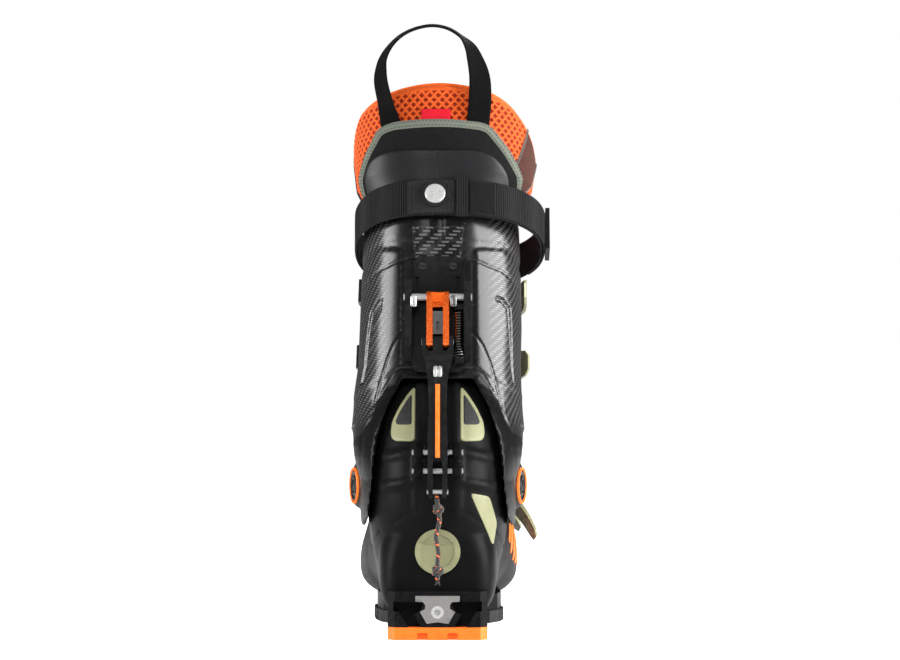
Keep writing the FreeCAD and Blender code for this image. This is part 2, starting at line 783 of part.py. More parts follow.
keep("frame_pin", leg_cylinder("FramePin", "Sizes.lock_pin_radius", "49", 0, *PIN_AT))
SCREW_SIDE, SCREW_UP, SLOT_HALF = 11, 146.5, (1.9, 0.4)


def housing_screw(side):
    """A slotted screw head on the housing's upper plate."""
    across = side * SCREW_SIDE
    inwards = LEG.Rotation.multVec(Vector(0, 1, 0))
    head = Part.makeCylinder(2.6, 1.15, leg_point(across, 74.2, SCREW_UP), inwards)
    wide, high = SLOT_HALF
    slot = [(across - wide, SCREW_UP - high), (across + wide, SCREW_UP - high),
            (across + wide, SCREW_UP + high), (across - wide, SCREW_UP + high)]
    return head.cut(prism(slot, "xz", -76, -73.4, LEG))


keep("housing_screws", feature("HousingScrews", Part.makeCompound([housing_screw(1), housing_screw(-1)])))

spring = bind(doc.addObject("Part::Helix", "SpringPath"), Pitch="Sizes.spring_pitch",
              Height="Sizes.spring_length - 1", Radius="Sizes.spring_coil_radius")
spring.Placement = LEG.multiply(Placement(Vector(SPRING_X, -77, 79.5), Rotation()))
wire_profile = bind(doc.addObject("Part::Circle", "SpringWire"), Radius="Sizes.spring_wire")
wire_profile.Placement = LEG.multiply(
    Placement(Vector(SPRING_X + size("spring_coil_radius"), -77, 79.5), Rotation(Vector(1, 0, 0), 90)))
spring_sweep = doc.addObject("Part::Sweep", "SpringSweep")
spring_sweep.Sections = [wire_profile]
spring_sweep.Spine = (spring, ["Edge1"])
spring_sweep.Solid = True
spring_sweep.Frenet = True
keep("lock_spring", spring_sweep)


def link(ends, radius, low, high):
    """A bar with round ends between two (back, up) points of the leg's frame, across from low to high."""
    start, end = (Vector(0, -back, up) for back, up in ends)
    along = (end - start).normalize()
    normal = Vector(0, -along.z, along.y) * radius
    corners = [start + normal, end + normal, end - normal, start - normal]
    web = prism([(c.y, c.z) for c in corners], "yz", low, high)
    for point in (start, end):
        web = web.fuse(Part.makeCylinder(radius, high - low, Vector(low, point.y, point.z), Vector(1, 0, 0)))
    return web


def lock_hole(at, radius):
    back, up = at
    return Part.makeCylinder(radius, 60, Vector(-30, -back, up), Vector(1, 0, 0))


FRAME_RADIUS = 4.1


def latch_frame():
    inner, outer = size("frame_bar_inner"), size("frame_bar_outer")
    bars = [
        link([PIN_AT, KNUCKLE_AT], FRAME_RADIUS, *sorted((side * inner, side * outer))) for side in (1, -1)
    ]
    across = -inner - 1, inner + 1
    cross = prism([(-81.6, 115), (-76.2, 115), (-75.7, 118.4), (-81.1, 118.4)], "yz", *across)
    cover = prism([(-81.6, 118.6), (-80.2, 118.6), (-80.2, 125.6), (-81.6, 125.6)], "yz", *across)
    frame = bars[0].fuse(bars[1]).fuse(cross).fuse(cover)
    frame = frame.cut(lock_hole(PIN_AT, size("lock_pin_radius") + size("running_gap")))
    frame = frame.cut(lock_hole(KNUCKLE_AT, size("knuckle_pin_radius") + size("running_gap")))
    for side in (1, -1):
        middle = Vector(side * 5, -79, 106)
        frame = frame.cut(Part.makeCylinder(1.5, 3.2, middle, Vector(side, 0, 0)))
    frame.Placement = LEG
    return frame


def latch_tongue():
    inner = size("frame_bar_inner") - 0.1
    tongue = prism([(-83.2, 95), (-77.5, 96), (-76.6, 112), (-81.6, 112)], "yz", -inner, inner)
    rod = Part.makeCylinder(1.5, 2 * 8, Vector(-8, -79, 106), Vector(1, 0, 0))
    slot = prism([(-90, 98), (-82, 98), (-81, 104), (-90, 104)], "yz", -1.2, 1.2)
    tongue = tongue.cut(slot).fuse(rod)
    tongue.Placement = LEG
    return tongue


latch_bars = feature("LatchBars", latch_frame())
tongue = latch_tongue()
keep("latch_frame", feature("LatchFrame", latch_bars.Shape.cut(tongue)))
keep("latch_tongue", feature("LatchTongue", tongue))
KNUCKLE = leg_point(0, *KNUCKLE_AT)
ARM_END = ANKLE + Vector(0, -98, 14)
ARM_ANGLE = -math.degrees(math.atan2(KNUCKLE.y - ARM_END.y, KNUCKLE.z - ARM_END.z))
ARM = Placement(KNUCKLE, Rotation(Vector(1, 0, 0), ARM_ANGLE))
ARM_REACH = (KNUCKLE - ARM_END).Length
ARM_OUTLINE = [
    (11.2, 4.5), (11.2, -9), (8.4, -18), (6.8, -30), (6.2, -50), (7, -74), (7, -ARM_REACH - 14),
    (5.6, -ARM_REACH - 20), (3.3, -ARM_REACH - 20), (3.3, -92), (2.2, -89),
]
ARM_SIDE = [
    (4.2, 2), (2, 4.5), (-2, 4.5), (-4.2, 2), (-4.2, -20), (-3.5, -40), (-3.5, -ARM_REACH - 16),
    (-1.5, -ARM_REACH - 20), (3.5, -ARM_REACH - 20), (3.5, -60), (3.9, -20),
]
INLAY = [(1.65, -33), (1.65, -88)]
CORD_PIN_UP = -ARM_REACH - 15
LUG_RADIUS = 4.4


def lock_arm():
    """The arm: a knuckle with two outer lugs and one between the frame's bars, and a forked lower end."""
    arm = prism(both_halves(ARM_OUTLINE), "xz", -8, 8).common(prism(ARM_SIDE, "yz", -20, 20))
    window = prism([(-8.2, 6), (8.2, 6), (8.2, -5.5), (6, -8), (-6, -8), (-8.2, -5.5)], "xz", -10, 10)
    lug_half = size("frame_bar_inner") - 0.2
    lug = Part.makeCylinder(LUG_RADIUS, 2 * lug_half, Vector(-lug_half, 0, 0), Vector(1, 0, 0))
    web = prism([(-LUG_RADIUS, 0), (-4.2, -9), (3.9, -9), (LUG_RADIUS, 0)], "yz", -lug_half, lug_half)
    arm = arm.cut(window).fuse(lug).fuse(web)
    groove = prism(both_halves(INLAY), "xz", -6, -2.7)
    pin = Part.makeCylinder(size("knuckle_pin_radius"), 60, Vector(-30, 0, 0), Vector(1, 0, 0))
    cord = Part.makeCylinder(1.6, 60, Vector(-30, 0, CORD_PIN_UP), Vector(1, 0, 0))
    for tool in (groove, pin, cord):
        arm = arm.cut(tool)
    arm.Placement = ARM
    return arm


keep("lock_arm", feature("LockArm", lock_arm()))
inlay = [(x - 0.05, z + (0.05 if z < -50 else -0.05)) for x, z in INLAY]
keep("arm_inlay", feature("ArmInlay", prism(both_halves(inlay), "xz", -3.9, -2.75, ARM)))
knuckle_pin = cylinder("KnucklePin", "Sizes.knuckle_pin_radius", "22.8", KNUCKLE)
keep("knuckle_pin", knuckle_pin)
cord_pin = cylinder("CordPin", "1.6", "15", ARM.multVec(Vector(0, 0, CORD_PIN_UP)))
keep("cord_pin", cord_pin)

# ----------------------------------------------------------------------------------------
# Buckles: each has a base, a lever on a pin, a wire bail and a toothed ladder
# ----------------------------------------------------------------------------------------

STAND = 8.4
TEETH = 4
TOOTH_PITCH = 7
TOOTH_TOP = 4.4


def leg_surface(height):
    """Point and outward normal of the cuff at an angle round a cross-section of the leg."""
    width, depth = leg_half_sizes(height)

    def at(degrees, rise):
        angle = math.radians(degrees)
        x, y = superellipse(width, depth, 2.3, angle)
        slope = abs(x / width) ** 1.3 / width, abs(y / depth) ** 1.3 / depth
        normal = Vector(math.copysign(slope[0], x), math.copysign(slope[1], y), 0)
        point = Vector(x, y - size("leg_centre_back"), height) + normal.normalize() * rise
        return LEG.multVec(point), LEG.Rotation.multVec(normal)

    return at


def foot_point(along, degrees):
    """A point of the shell's outside, by its place along the foot and its angle round the cross-section."""
    for before, after in zip(FOOT_STATIONS, FOOT_STATIONS[1:]):
        if before[0] <= along <= after[0]:
            share = (along - before[0]) / (after[0] - before[0])
            centre, half_width, top, bottom = (a + share * (b - a) for a, b in zip(before[1:], after[1:]))
    widest = bottom + WIDEST_SHARE * (top - bottom)
    x, z = superellipse(half_width, top - widest, 2.2, math.radians(degrees))
    return Vector(centre + x, along, widest + z)


def foot_surface(along):
    """Point and outward normal of the shell at an angle round a cross-section of the foot."""

    def at(degrees, rise):
        ahead = foot_point(along + 12, degrees) - foot_point(along - 12, degrees)
        onwards = foot_point(along, degrees + 1) - foot_point(along, degrees - 1)
        normal = ahead.cross(onwards).normalize()
        return foot_point(along, degrees) + normal * rise, normal

    return at


def frame_at(surface, degrees, rise):
    """A frame on a surface: x round the section, y along the axis, z outwards."""
    point, normal = surface(degrees, rise)
    ahead = surface(degrees + 1, rise)[0] - point
    side = normal.cross(ahead).normalize()
    return Placement(point, Rotation(side.cross(normal), side, normal, "ZXY"))


def buckle_base(frame, volume):
    ear = size("ear_outer")
    plate = prism([(-12, -6.5), (12, -6.5), (14, 0), (12, 6.5), (-12, 6.5)], "xy", -16, -5.6)
    ears = [
        link_xz([(0, 0, 3.6), (0, -9, 5)], *sorted((side * (ear - size("ear_thickness")), side * ear)))
        for side in (1, -1)
    ]
    pin = Part.makeCylinder(size("buckle_pin_radius"), 40, Vector(0, -20, 0), Vector(0, 1, 0))
    shape = plate.fuse(ears[0]).fuse(ears[1]).cut(pin)
    shape.Placement = frame
    return shape.cut(volume)


def link_xz(ends, low, high):
    """A tapered bar in the buckle's side plane through (x, z, radius) circles, across from low to high."""
    (x0, z0, r0), (x1, z1, r1) = ends
    along = Vector(x1 - x0, 0, z1 - z0).normalize()
    normal = Vector(-along.z, 0, along.x)
    corners = [(x0 + normal.x * r0, z0 + normal.z * r0), (x1 + normal.x * r1, z1 + normal.z * r1),
               (x1 - normal.x * r1, z1 - normal.z * r1), (x0 - normal.x * r0, z0 - normal.z * r0)]
    shape = prism(corners, "xz", low, high)
    for x, z, radius in ends:
        shape = shape.fuse(Part.makeCylinder(radius, high - low, Vector(x, low, z), Vector(0, 1, 0)))
    return shape


BAIL_PIVOT = (-10, -1.5)
RECESS_FLOOR = 1.7


def buckle_lever(frame, reach, bend):
    half = size("lever_half_width")
    thick = size("lever_thickness")
    steps = [-5.2 - (reach - 5.2) * k / 8 for k in range(9)]
    upper = [(t, 4.6 - t * t / (2 * bend)) for t in steps]
    lower = [(t, z - thick * (1 - 0.35 * (t / reach) ** 2)) for t, z in upper]
    handle = prism(upper + lower[::-1], "xz", -half, half)
    side_line = [(-4, half), (-reach + 16, half), (-reach + 4, half - 2.2), (-reach, half - 6)]
    plan = prism(side_line + [(x, -y) for x, y in reversed(side_line)], "xy", -60, 20)
    hole_line = [(-16, 5.2), (-reach + 17, 4.2), (-reach + 14, 0), (-reach + 17, -4.2), (-16, -5.2)]
    raised = handle.copy()
    raised.translate(Vector(0, 0, RECESS_FLOOR))
    lever = handle.common(plan).cut(raised.common(prism(hole_line, "xy", -60, 20)))
    for side in (1, -1):
        low, high = sorted((side * (size("ear_outer") + 0.15), side * half))
        cheek = link_xz([(0, 0, 4.5), (BAIL_PIVOT[0], BAIL_PIVOT[1] + 0.8, 4)], low, high)
        lever = lever.fuse(cheek)
    for radius, (x, z) in ((size("buckle_pin_radius"), (0, 0)), (size("bail_wire"), BAIL_PIVOT)):
        hole = radius + size("running_gap")
        lever = lever.cut(Part.makeCylinder(hole, 40, Vector(x, -20, z), Vector(0, 1, 0)))
    lever.Placement = frame
    return lever


def buckle_bail(frame, surface, start, hook, slack=0.0):
    """A bent wire from the lever's cheeks round to the ladder, its bar hooked behind a tooth."""
    half = size("bail_half_width")
    side = frame.Rotation.multVec(Vector(0, 1, 0))
    turns = [start + 3 + (hook - start - 3) * k / 6 for k in range(7)]
    rises = [8.2, 8.0, 7.4, 6.6, 5.8, 5.2, 4.9]
    middle = [frame.multVec(Vector(BAIL_PIVOT[0], 0, BAIL_PIVOT[1]))]
    middle += [surface(turn, rise)[0] for turn, rise in zip(turns, rises)]
    near = (middle[1] - middle[0]).normalize()
    far = (middle[-2] - middle[-1]).normalize()
    bend = 2.9
    corner = [(half - bend, 0), (half - bend * 0.62, bend * 0.076), (half - bend * 0.293, bend * 0.293),
              (half - bend * 0.076, bend * 0.62), (half, bend)]
    arm = [middle[0] + side * (size("ear_outer") + 0.45)]
    arm += [middle[0] + side * across + near * along for across, along in corner]
    arm += [point + side * half for point in middle[1:-1]]
    arm += [middle[-1] + side * across + far * along for across, along in reversed(corner)]
    arm += [middle[-1] + side * half / 2]
    other = [point - side * (2 * (point - middle[0]).dot(side)) for point in arm]
    return sweep_wire(arm + [middle[-1]] + other[::-1], size("bail_wire") + slack)


def sweep_wire(points, radius):
    """A round wire along a line of points, lofted through rings that are carried along without twisting."""
    rings = []
    across = None
    for index, point in enumerate(points):
        before, after = points[max(index - 1, 0)], points[min(index + 1, len(points) - 1)]
        ahead = (after - before).normalize()
        if across is None:
            across = ahead.cross(Vector(0.3, 0.5, 0.8)).normalize()
        across = (across - ahead * across.dot(ahead)).normalize()
        up = ahead.cross(across)
        ring = []
        for k in range(8):
            turn = 2 * math.pi * k / 8
            ring.append(point + (across * math.cos(turn) + up * math.sin(turn)) * radius)
        rings.append(closed_curve(ring))
    return Part.makeLoft(rings, True, True)


def buckle_ladder(surface, low, high, half, volume, keep_out, hook):
    """A strip laid on the surface between two angles with teeth, the wire lying beyond the hooked tooth."""
    strip = sector(surface, low, high, half).common(volume(3.0)).cut(keep_out)
    for step in range(TEETH):
        turn = hook - 3.6 + TOOTH_PITCH * step
        tooth = sector(surface, turn - 0.8, turn + 0.8, half - 1.5)
        strip = strip.fuse(tooth.common(volume(TOOTH_TOP)).cut(volume(2.6)))
    return strip


def sector(surface, low, high, half):
    """A wedge standing through the surface between two angles, a given half width along the axis."""
    turns = [low + (high - low) * k / 4 for k in range(5)]
    side = frame_at(surface, (low + high) / 2, 0).Rotation.multVec(Vector(0, 1, 0))
    ring = [surface(turn, 14)[0] for turn in turns] + [surface(turn, -9)[0] for turn in reversed(turns)]
    middle = ring[0]
    flat = [point - side * (point - middle).dot(side) - side * half for point in ring]
    return Part.Face(Part.makePolygon(flat + flat[:1])).extrude(side * (2 * half))


@functools.cache
def shell_outside(grow):
    return foot_volume(grow).fuse(ankle_volume(grow, grow))


# Name, surface, lever angle, hook angle, ladder's last angle, lever reach and bend.
CUFF_BUCKLES = {
    "upper_cuff": (leg_surface(144), 47, 99, 178, 48, 50),
    "lower_cuff": (leg_surface(96), 56, 100, 172, 40, 60),
}
SHELL_BUCKLES = {
    "instep": (foot_surface(53), 49, 98, 142, 46, 62),
    "forefoot": (foot_surface(85), 52, 99, 144, 38, 60),
}


def add_buckles(buckles, volume, keep_out, pins_name):
    pins = []
    for name, (surface, start, hook, end, reach, bend) in buckles.items():
        frame = frame_at(surface, start, STAND)
        keep(f"{name}_buckle_base", feature(f"{name}Base", buckle_base(frame, keep_out)))
        keep(f"{name}_lever", feature(f"{name}Lever", buckle_lever(frame, reach, bend)))
        keep(f"{name}_bail", feature(f"{name}Bail", buckle_bail(frame, surface, start, hook)))
        ladder = buckle_ladder(surface, hook - 5.5, end, 8.5, volume, keep_out, hook)
        wire_room = buckle_bail(frame, surface, start, hook, slack=0.3)
        keep(f"{name}_ladder", feature(f"{name}Ladder", ladder.cut(wire_room)))
        length = "2 * Sizes.lever_half_width - 0.4"
        pins.append(cylinder(f"{name}Pin", "Sizes.buckle_pin_radius", length, (0, 0, 0), "y", frame))
    keep(pins_name, group(pins_name + "Group", *pins))


add_buckles(CUFF_BUCKLES, leg_volume, CUFF_KEEP_OUT, "cuff_buckle_pins")
add_buckles(SHELL_BUCKLES, shell_outside, SHELL_KEEP_OUT, "shell_buckle_pins")

# ----------------------------------------------------------------------------------------
# Liner above the ankle, its tongue and the pull loop
# ----------------------------------------------------------------------------------------

COLLAR = [(200, 48.4, 59.6), (220, 52.6, 60.8), (236, 61, 61.7), (248, 63.8, 62.2), (322, 64, 62.4)]
COLLAR_ARCH = [(0, 283), (22, 281), (40, 273), (50, 262), (57, 250), (62, 240), (70, 230)]
TONGUE_HALF = 25.4
LINER_GAP_HALF = 26


def liner_stations(grow):
    low = [(h, *(half - size("cuff_wall") - 0.8 for half in leg_half_sizes(h))) for h in (40, 120)]
    return [(h, width + grow, depth + grow) for h, width, depth in low + COLLAR]


@functools.cache
def liner_volume(grow):
    return tube(liner_stations(grow), ruled=True)


def liner_cuff():
    line = [(-x, z) for x, z in reversed(COLLAR_ARCH)] + COLLAR_ARCH[1:]
    arch = prism(line + [(120, 230), (120, 400), (-120, 400), (-120, 230)], "xz", -150, 150, LEG)
    shape = liner_volume(0).cut(liner_volume(-size("liner_wall"))).cut(barrel(size("barrel_radius") + 0.6))
    half = LINER_GAP_HALF
    gap = prism([(-half, 0), (half, 0), (half, 150), (-half, 150)], "xy", 0, 400, LEG)
    below = prism([(-200, 20), (200, 20), (200, -300), (-200, -300)], "yz", -150, 150, AT_ANKLE)
    return shape.cut(arch).cut(gap).cut(below)


def liner_tongue():
    shape = liner_volume(-0.6).cut(liner_volume(-size("liner_wall") + 1))
    shape = shape.cut(barrel(size("barrel_radius") + 0.6))
    outline = [(-18, 60), (18, 60), (TONGUE_HALF, 90), (TONGUE_HALF, 296), (18, 308), (8, 312), (-8, 312),
               (-18, 308), (-TONGUE_HALF, 296), (-TONGUE_HALF, 90)]
    return shape.common(prism(outline, "xz", 12, 150, LEG))


keep("liner_cuff", feature("LinerCuff", liner_cuff()))
keep("liner_tongue", feature("LinerTongue", liner_tongue()))

LOOP_LEGS = (-33, 28)
LOOP_FOOT, LOOP_SPRING, LOOP_TOP = 244, 268, 327


def ribbon(centres, widths, breadth, thickness):
    """A flat band lofted through rectangles that turn along it."""
    rings = []
    for index, (centre, wide) in enumerate(zip(centres, widths)):
        before, after = centres[max(index - 1, 0)], centres[min(index + 1, len(centres) - 1)]
        ahead = (after - before).normalize()
        across = (wide - ahead * wide.dot(ahead)).normalize() * (breadth / 2)
        through = ahead.cross(across).normalize() * (thickness / 2)
        corners = [centre + across + through, centre - across + through, centre - across - through,
                   centre + across - through]
        rings.append(Part.makePolygon(corners + corners[:1]))
    return Part.makeLoft(rings, True, False)


def pull_loop():
    thick = size("loop_thickness")
    middle, half = sum(LOOP_LEGS) / 2, (LOOP_LEGS[1] - LOOP_LEGS[0]) / 2
    centres, widths = [], []
    for step in range(13):
        angle = math.pi * (1 - step / 12)
        height = LOOP_SPRING + (LOOP_TOP - LOOP_SPRING) * math.sin(angle)
        centres.append(Vector(middle + half * math.cos(angle) * (1 + 0.1 * math.sin(2 * angle) ** 2),
                              -66.2 - 2.2 * math.sin(angle), height))
        twist = math.pi * step / 12
        widths.append(Vector(math.cos(twist), math.sin(twist), 0))
    loop = ribbon(centres, widths, size("loop_width"), thick)
    for leg in LOOP_LEGS:
        low, high = leg - size("loop_width") / 2, leg + size("loop_width") / 2
        top = LOOP_SPRING + 4
        patch = prism([(low, LOOP_FOOT), (high, LOOP_FOOT), (high, top), (low, top)], "xz", -120, -30)
        band = tube(liner_stations(thick + 0.9), ruled=True)
        band.Placement = Placement()
        inner = liner_volume(0.1).copy()
        inner.Placement = Placement()
        loop = loop.fuse(band.cut(inner).common(patch))
    loop.Placement = LEG
    return loop.cut(liner_volume(0.1))


keep("pull_loop", feature("PullLoop", pull_loop()))

# ----------------------------------------------------------------------------------------
# Power strap
# ----------------------------------------------------------------------------------------

STRAP_UP = 184.5
STRAP = LEG.multiply(Placement(Vector(0, 0, STRAP_UP), Rotation(Vector(1, 0, 0), -9)))
STRAP_LEFT, STRAP_RIGHT, STRAP_DEPTH, STRAP_CENTRE = 59, 74.5, 71.3, -5.2


@functools.cache
def strap_block(grow, half_height):
    """The solid block inside a strap layer, in the strap's own frame."""
    ring = []
    for step in range(SECTION_POINTS):
        angle = 2 * math.pi * step / SECTION_POINTS
        side = STRAP_RIGHT if math.cos(angle) > 0 else STRAP_LEFT
        x, y = superellipse(side + grow, STRAP_DEPTH + grow, 2.4, angle)
        ring.append(Vector(x, y + STRAP_CENTRE, -half_height))
    return Part.Face(closed_curve(ring)).extrude(Vector(0, 0, 2 * half_height))


def strap_layer(inner, outer, half_height, low=-200, high=200, behind=True):
    """Part of a ring round the leg between two depths, kept between two places across."""
    layer = strap_block(outer, half_height).cut(strap_block(inner, half_height + 1))
    if low > -200 or high < 200:
        far = 0 if behind else 60
        layer = layer.common(prism([(low, -120), (high, -120), (high, far), (low, far)], "xy", -40, 40))
    layer.Placement = STRAP
    return layer


half_strap = size("strap_width") / 2
thick = size("strap_thickness")
strap_shape = strap_layer(0, thick, half_strap).cut(leg_volume(SPOILER_RISE + 0.2))
keep("power_strap", feature("PowerStrap", strap_shape))
patch = strap_layer(thick + 0.05, thick + 1.3, half_strap - 1.1, -21, 12)
keep("strap_patch", feature("StrapPatch", patch))
keeper = strap_layer(thick + 0.05, thick + 2, half_strap + 1.4, 12.6, 21.8)
keep("strap_keeper", feature("StrapKeeper", keeper))
tail = strap_layer(thick + 0.05, thick + 1.9, half_strap - 0.6, 22, 90, behind=False)
keep("strap_tail", feature("StrapTail", tail))
RIVET_AT = STRAP.multVec(Vector(-2, -(STRAP_DEPTH - STRAP_CENTRE + thick + 1.35), 1.2))
RIVET_OUT = STRAP.Rotation.multVec(Vector(0, -1, 0))
washer = Part.makeCylinder(9.8, 1, RIVET_AT, RIVET_OUT)
head = Part.makeCylinder(7.3, 1.9, RIVET_AT + RIVET_OUT * 1.05, RIVET_OUT)
keep("strap_washer", feature("StrapWasher", washer))
rims = [edge for edge in head.Edges if edge.Closed and len(edge.Vertexes) == 1]
outer_rim = max(rims, key=lambda edge: (edge.CenterOfMass - RIVET_AT).Length)
keep("strap_rivet", feature("StrapRivet", head.makeFillet(0.9, [outer_rim])))


def strap_buckle():
    """The strap's ladder-lock slider: a frame with two bars on the outer side of the boot."""
    side = STRAP_RIGHT + thick + 2
    plate = prism([(-20, -16), (4, -16), (4, 16), (-20, 16)], "yz", side, side + 3.2)
    for low in (-16.5, -4.5):
        slot = [(low, -14), (low + 6, -14), (low + 6, 14), (low, 14)]
        plate = plate.cut(prism(slot, "yz", side - 1, side + 5))
    plate.Placement = STRAP
    return plate


keep("strap_buckle", feature("StrapBuckle", strap_buckle()))

# ----------------------------------------------------------------------------------------
# Pull cord on the lock arm, and the heel badge
# ----------------------------------------------------------------------------------------

CORD_RADIUS = 1.6
cord_top = ARM.multVec(Vector(0, 0, CORD_PIN_UP))
cord_line = [cord_top + Vector(x, y, -drop) for x, y, drop in (
    (0, 0, 1.5), (0, -0.5, 8), (1.5, -1, 18), (-1, -0.5, 30), (0.5, 0, 42), (0, 0, 52), (0, 0, 60))]
cord = sweep_wire(cord_line, CORD_RADIUS)
for drop, radius in ((2.4, 3.1), (12, 3.4), (58, 4)):
    knot = Part.makeSphere(radius, cord_top - Vector(0, 0.3, drop))
    cord = cord.fuse(knot)
cord = cord.cut(Part.makeCylinder(CORD_RADIUS + 0.03, 20, cord_top - Vector(10, 0, 0), Vector(1, 0, 0)))
keep("pull_cord", feature("PullCord", cord))

BADGE_UP, BADGE_RADIUS = 61, 16


def heel_badge():
    column = Part.makeCylinder(BADGE_RADIUS, 90, Vector(0, HEEL_END - 10, BADGE_UP), Vector(0, 1, 0))
    core = Part.makeCylinder(BADGE_RADIUS - 4, 90, Vector(0, HEEL_END - 10, BADGE_UP), Vector(0, 1, 0))
    near = Part.makeBox(200, 60, 200, Vector(-100, HEEL_END - 10, 0))
    band = shell_outside(1.4).cut(SHELL_KEEP_OUT).common(near)
    return band.common(column).cut(core.common(shell_outside(3).cut(shell_outside(0.8))))


keep("heel_badge", feature("HeelBadge", heel_badge()))

# ----------------------------------------------------------------------------------------
# Checks and export
# ----------------------------------------------------------------------------------------

doc.recompute()
failed = [o.Label for o in doc.Objects if "Invalid" in o.State or "Error" in o.State]
for name, obj in nodes.items():
    shape = obj.Shape
    if shape.isNull() or not shape.isValid() or not shape.Solids or shape.Volume <= 0:
        failed.append(name)
if failed:
    raise SystemExit(f"these objects failed: {failed}")

os.makedirs("parts", exist_ok=True)
for name, obj in nodes.items():
    obj.Shape.exportStep(f"parts/{name}.step")
    print(f"{name:24} {len(obj.Shape.Solids):3} solids {obj.Shape.Volume / 1000:10.2f} cm3")
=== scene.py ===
"""A right-foot alpine touring ski boot, seen from behind: its looks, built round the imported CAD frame."""

import json
import math

import bmesh
import bpy
import numpy as np
from mathutils import Matrix, Vector
from mathutils.bvhtree import BVHTree


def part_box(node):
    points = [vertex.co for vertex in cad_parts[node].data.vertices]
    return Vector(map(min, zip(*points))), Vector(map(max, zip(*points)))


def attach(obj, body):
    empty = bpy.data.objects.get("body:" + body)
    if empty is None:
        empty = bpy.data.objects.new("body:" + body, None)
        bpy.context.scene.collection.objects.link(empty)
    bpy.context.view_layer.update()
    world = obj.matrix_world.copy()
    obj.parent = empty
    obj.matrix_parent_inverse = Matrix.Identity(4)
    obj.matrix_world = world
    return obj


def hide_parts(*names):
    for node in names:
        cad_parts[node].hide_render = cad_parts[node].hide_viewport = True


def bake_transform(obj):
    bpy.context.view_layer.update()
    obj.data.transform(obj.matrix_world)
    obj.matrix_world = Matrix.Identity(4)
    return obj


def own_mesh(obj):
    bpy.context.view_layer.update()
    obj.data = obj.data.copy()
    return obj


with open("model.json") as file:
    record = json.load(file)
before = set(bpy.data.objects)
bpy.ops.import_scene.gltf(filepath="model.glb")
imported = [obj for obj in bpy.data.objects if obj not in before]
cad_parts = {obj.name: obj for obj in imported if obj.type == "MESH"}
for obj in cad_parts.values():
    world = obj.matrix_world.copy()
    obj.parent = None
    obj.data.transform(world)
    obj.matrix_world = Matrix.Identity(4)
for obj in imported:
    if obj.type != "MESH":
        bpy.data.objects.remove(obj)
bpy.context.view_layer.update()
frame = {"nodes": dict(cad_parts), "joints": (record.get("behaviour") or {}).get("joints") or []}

# ---------------------------------------------------------------------------------------------------------------
# The leaned frame of the leg, in millimetres, and the sizes that the soft pieces are built from
# ---------------------------------------------------------------------------------------------------------------

MM = 0.001
LEAN = math.radians(12)
ANKLE = np.array(next(j for j in frame["joints"] if j["name"] == "cuff_pivot")["pos_m"]) / MM
LEG_CENTRE = -7.2


def turned(points, angle):
    """Points turned forwards about the x axis."""
    x, y, z = (points[..., k] for k in range(3))
    return np.stack([x, y * math.cos(angle) + z * math.sin(angle), z * math.cos(angle) - y * math.sin(angle)], -1)


def from_leg(points):
    """Leg frame, millimetres, to the boot's frame, millimetres."""
    return turned(np.asarray(points, float), LEAN) + ANKLE


def to_leg(points):
    return turned(np.asarray(points, float) - ANKLE, -LEAN)


def superellipse(half_x, half_y, power, angle):
    across, up = np.cos(angle), np.sin(angle)
    reach = ((np.abs(across) / half_x) ** power + (np.abs(up) / half_y) ** power) ** (-1 / power)
    return reach * across, reach * up


def smoothstep(value):
    value = np.clip(value, 0, 1)
    return value * value * (3 - 2 * value)


# ---------------------------------------------------------------------------------------------------------------
# Mesh helpers
# ---------------------------------------------------------------------------------------------------------------


def link(name, mesh):
    obj = bpy.data.objects.new(name, mesh)
    bpy.context.scene.collection.objects.link(obj)
    return obj


def shade_smooth(mesh):
    mesh.polygons.foreach_set("use_smooth", [True] * len(mesh.polygons))
    mesh.update()


def sheet(name, points, closed=False, uv=None, tint=None):
    """A smooth sheet over a grid of points in millimetres; closed joins the last column to the first."""
    rows, columns = points.shape[:2]
    verts = (points.reshape(-1, 3) * MM).tolist()
    last = columns if closed else columns - 1
    faces = []
    for row in range(rows - 1):
        for column in range(last):
            after = (column + 1) % columns
            faces.append((row * columns + column, row * columns + after,
                          (row + 1) * columns + after, (row + 1) * columns + column))
    mesh = bpy.data.meshes.new(name)
    mesh.from_pydata(verts, [], faces)
    if uv is not None:
        set_uv(mesh, uv.reshape(-1, 2))
    if tint is not None:
        set_tint(mesh, tint.reshape(-1))
    shade_smooth(mesh)
    return link(name, mesh)


def set_uv(mesh, values):
    """UVs in millimetres, one per vertex."""
    layer = mesh.uv_layers.get("mm") or mesh.uv_layers.new(name="mm")
    index = np.empty(len(mesh.loops), int)
    mesh.loops.foreach_get("vertex_index", index)
    layer.data.foreach_set("uv", values[index].astype(np.float32).ravel())


def set_tint(mesh, values, name="tint"):
    layer = mesh.attributes.get(name) or mesh.attributes.new(name, "FLOAT", "POINT")
    layer.data.foreach_set("value", np.asarray(values, np.float32))


def positions(obj):
    flat = np.empty(len(obj.data.vertices) * 3)
    obj.data.vertices.foreach_get("co", flat)
    return flat.reshape(-1, 3) / MM


def normals(obj):
    flat = np.empty(len(obj.data.vertices) * 3, np.float32)
    obj.data.vertex_normals.foreach_get("vector", flat)
    return flat.reshape(-1, 3).astype(float)


def set_positions(obj, points):
    obj.data.vertices.foreach_set("co", (points * MM).ravel())
    obj.data.update()


def modifier(obj, kind, **settings):
    made = obj.modifiers.new(kind.title(), kind)
    for key, value in settings.items():
        setattr(made, key, value)
    return made


def apply_all(obj):
    """Applies every modifier of an object to its mesh."""
    bpy.context.view_layer.update()
    graph = bpy.context.evaluated_depsgraph_get()
    mesh = bpy.data.meshes.new_from_object(obj.evaluated_get(graph), preserve_all_data_layers=True, depsgraph=graph)
    obj.modifiers.clear()
    obj.data = mesh
    shade_smooth(mesh)
    return obj


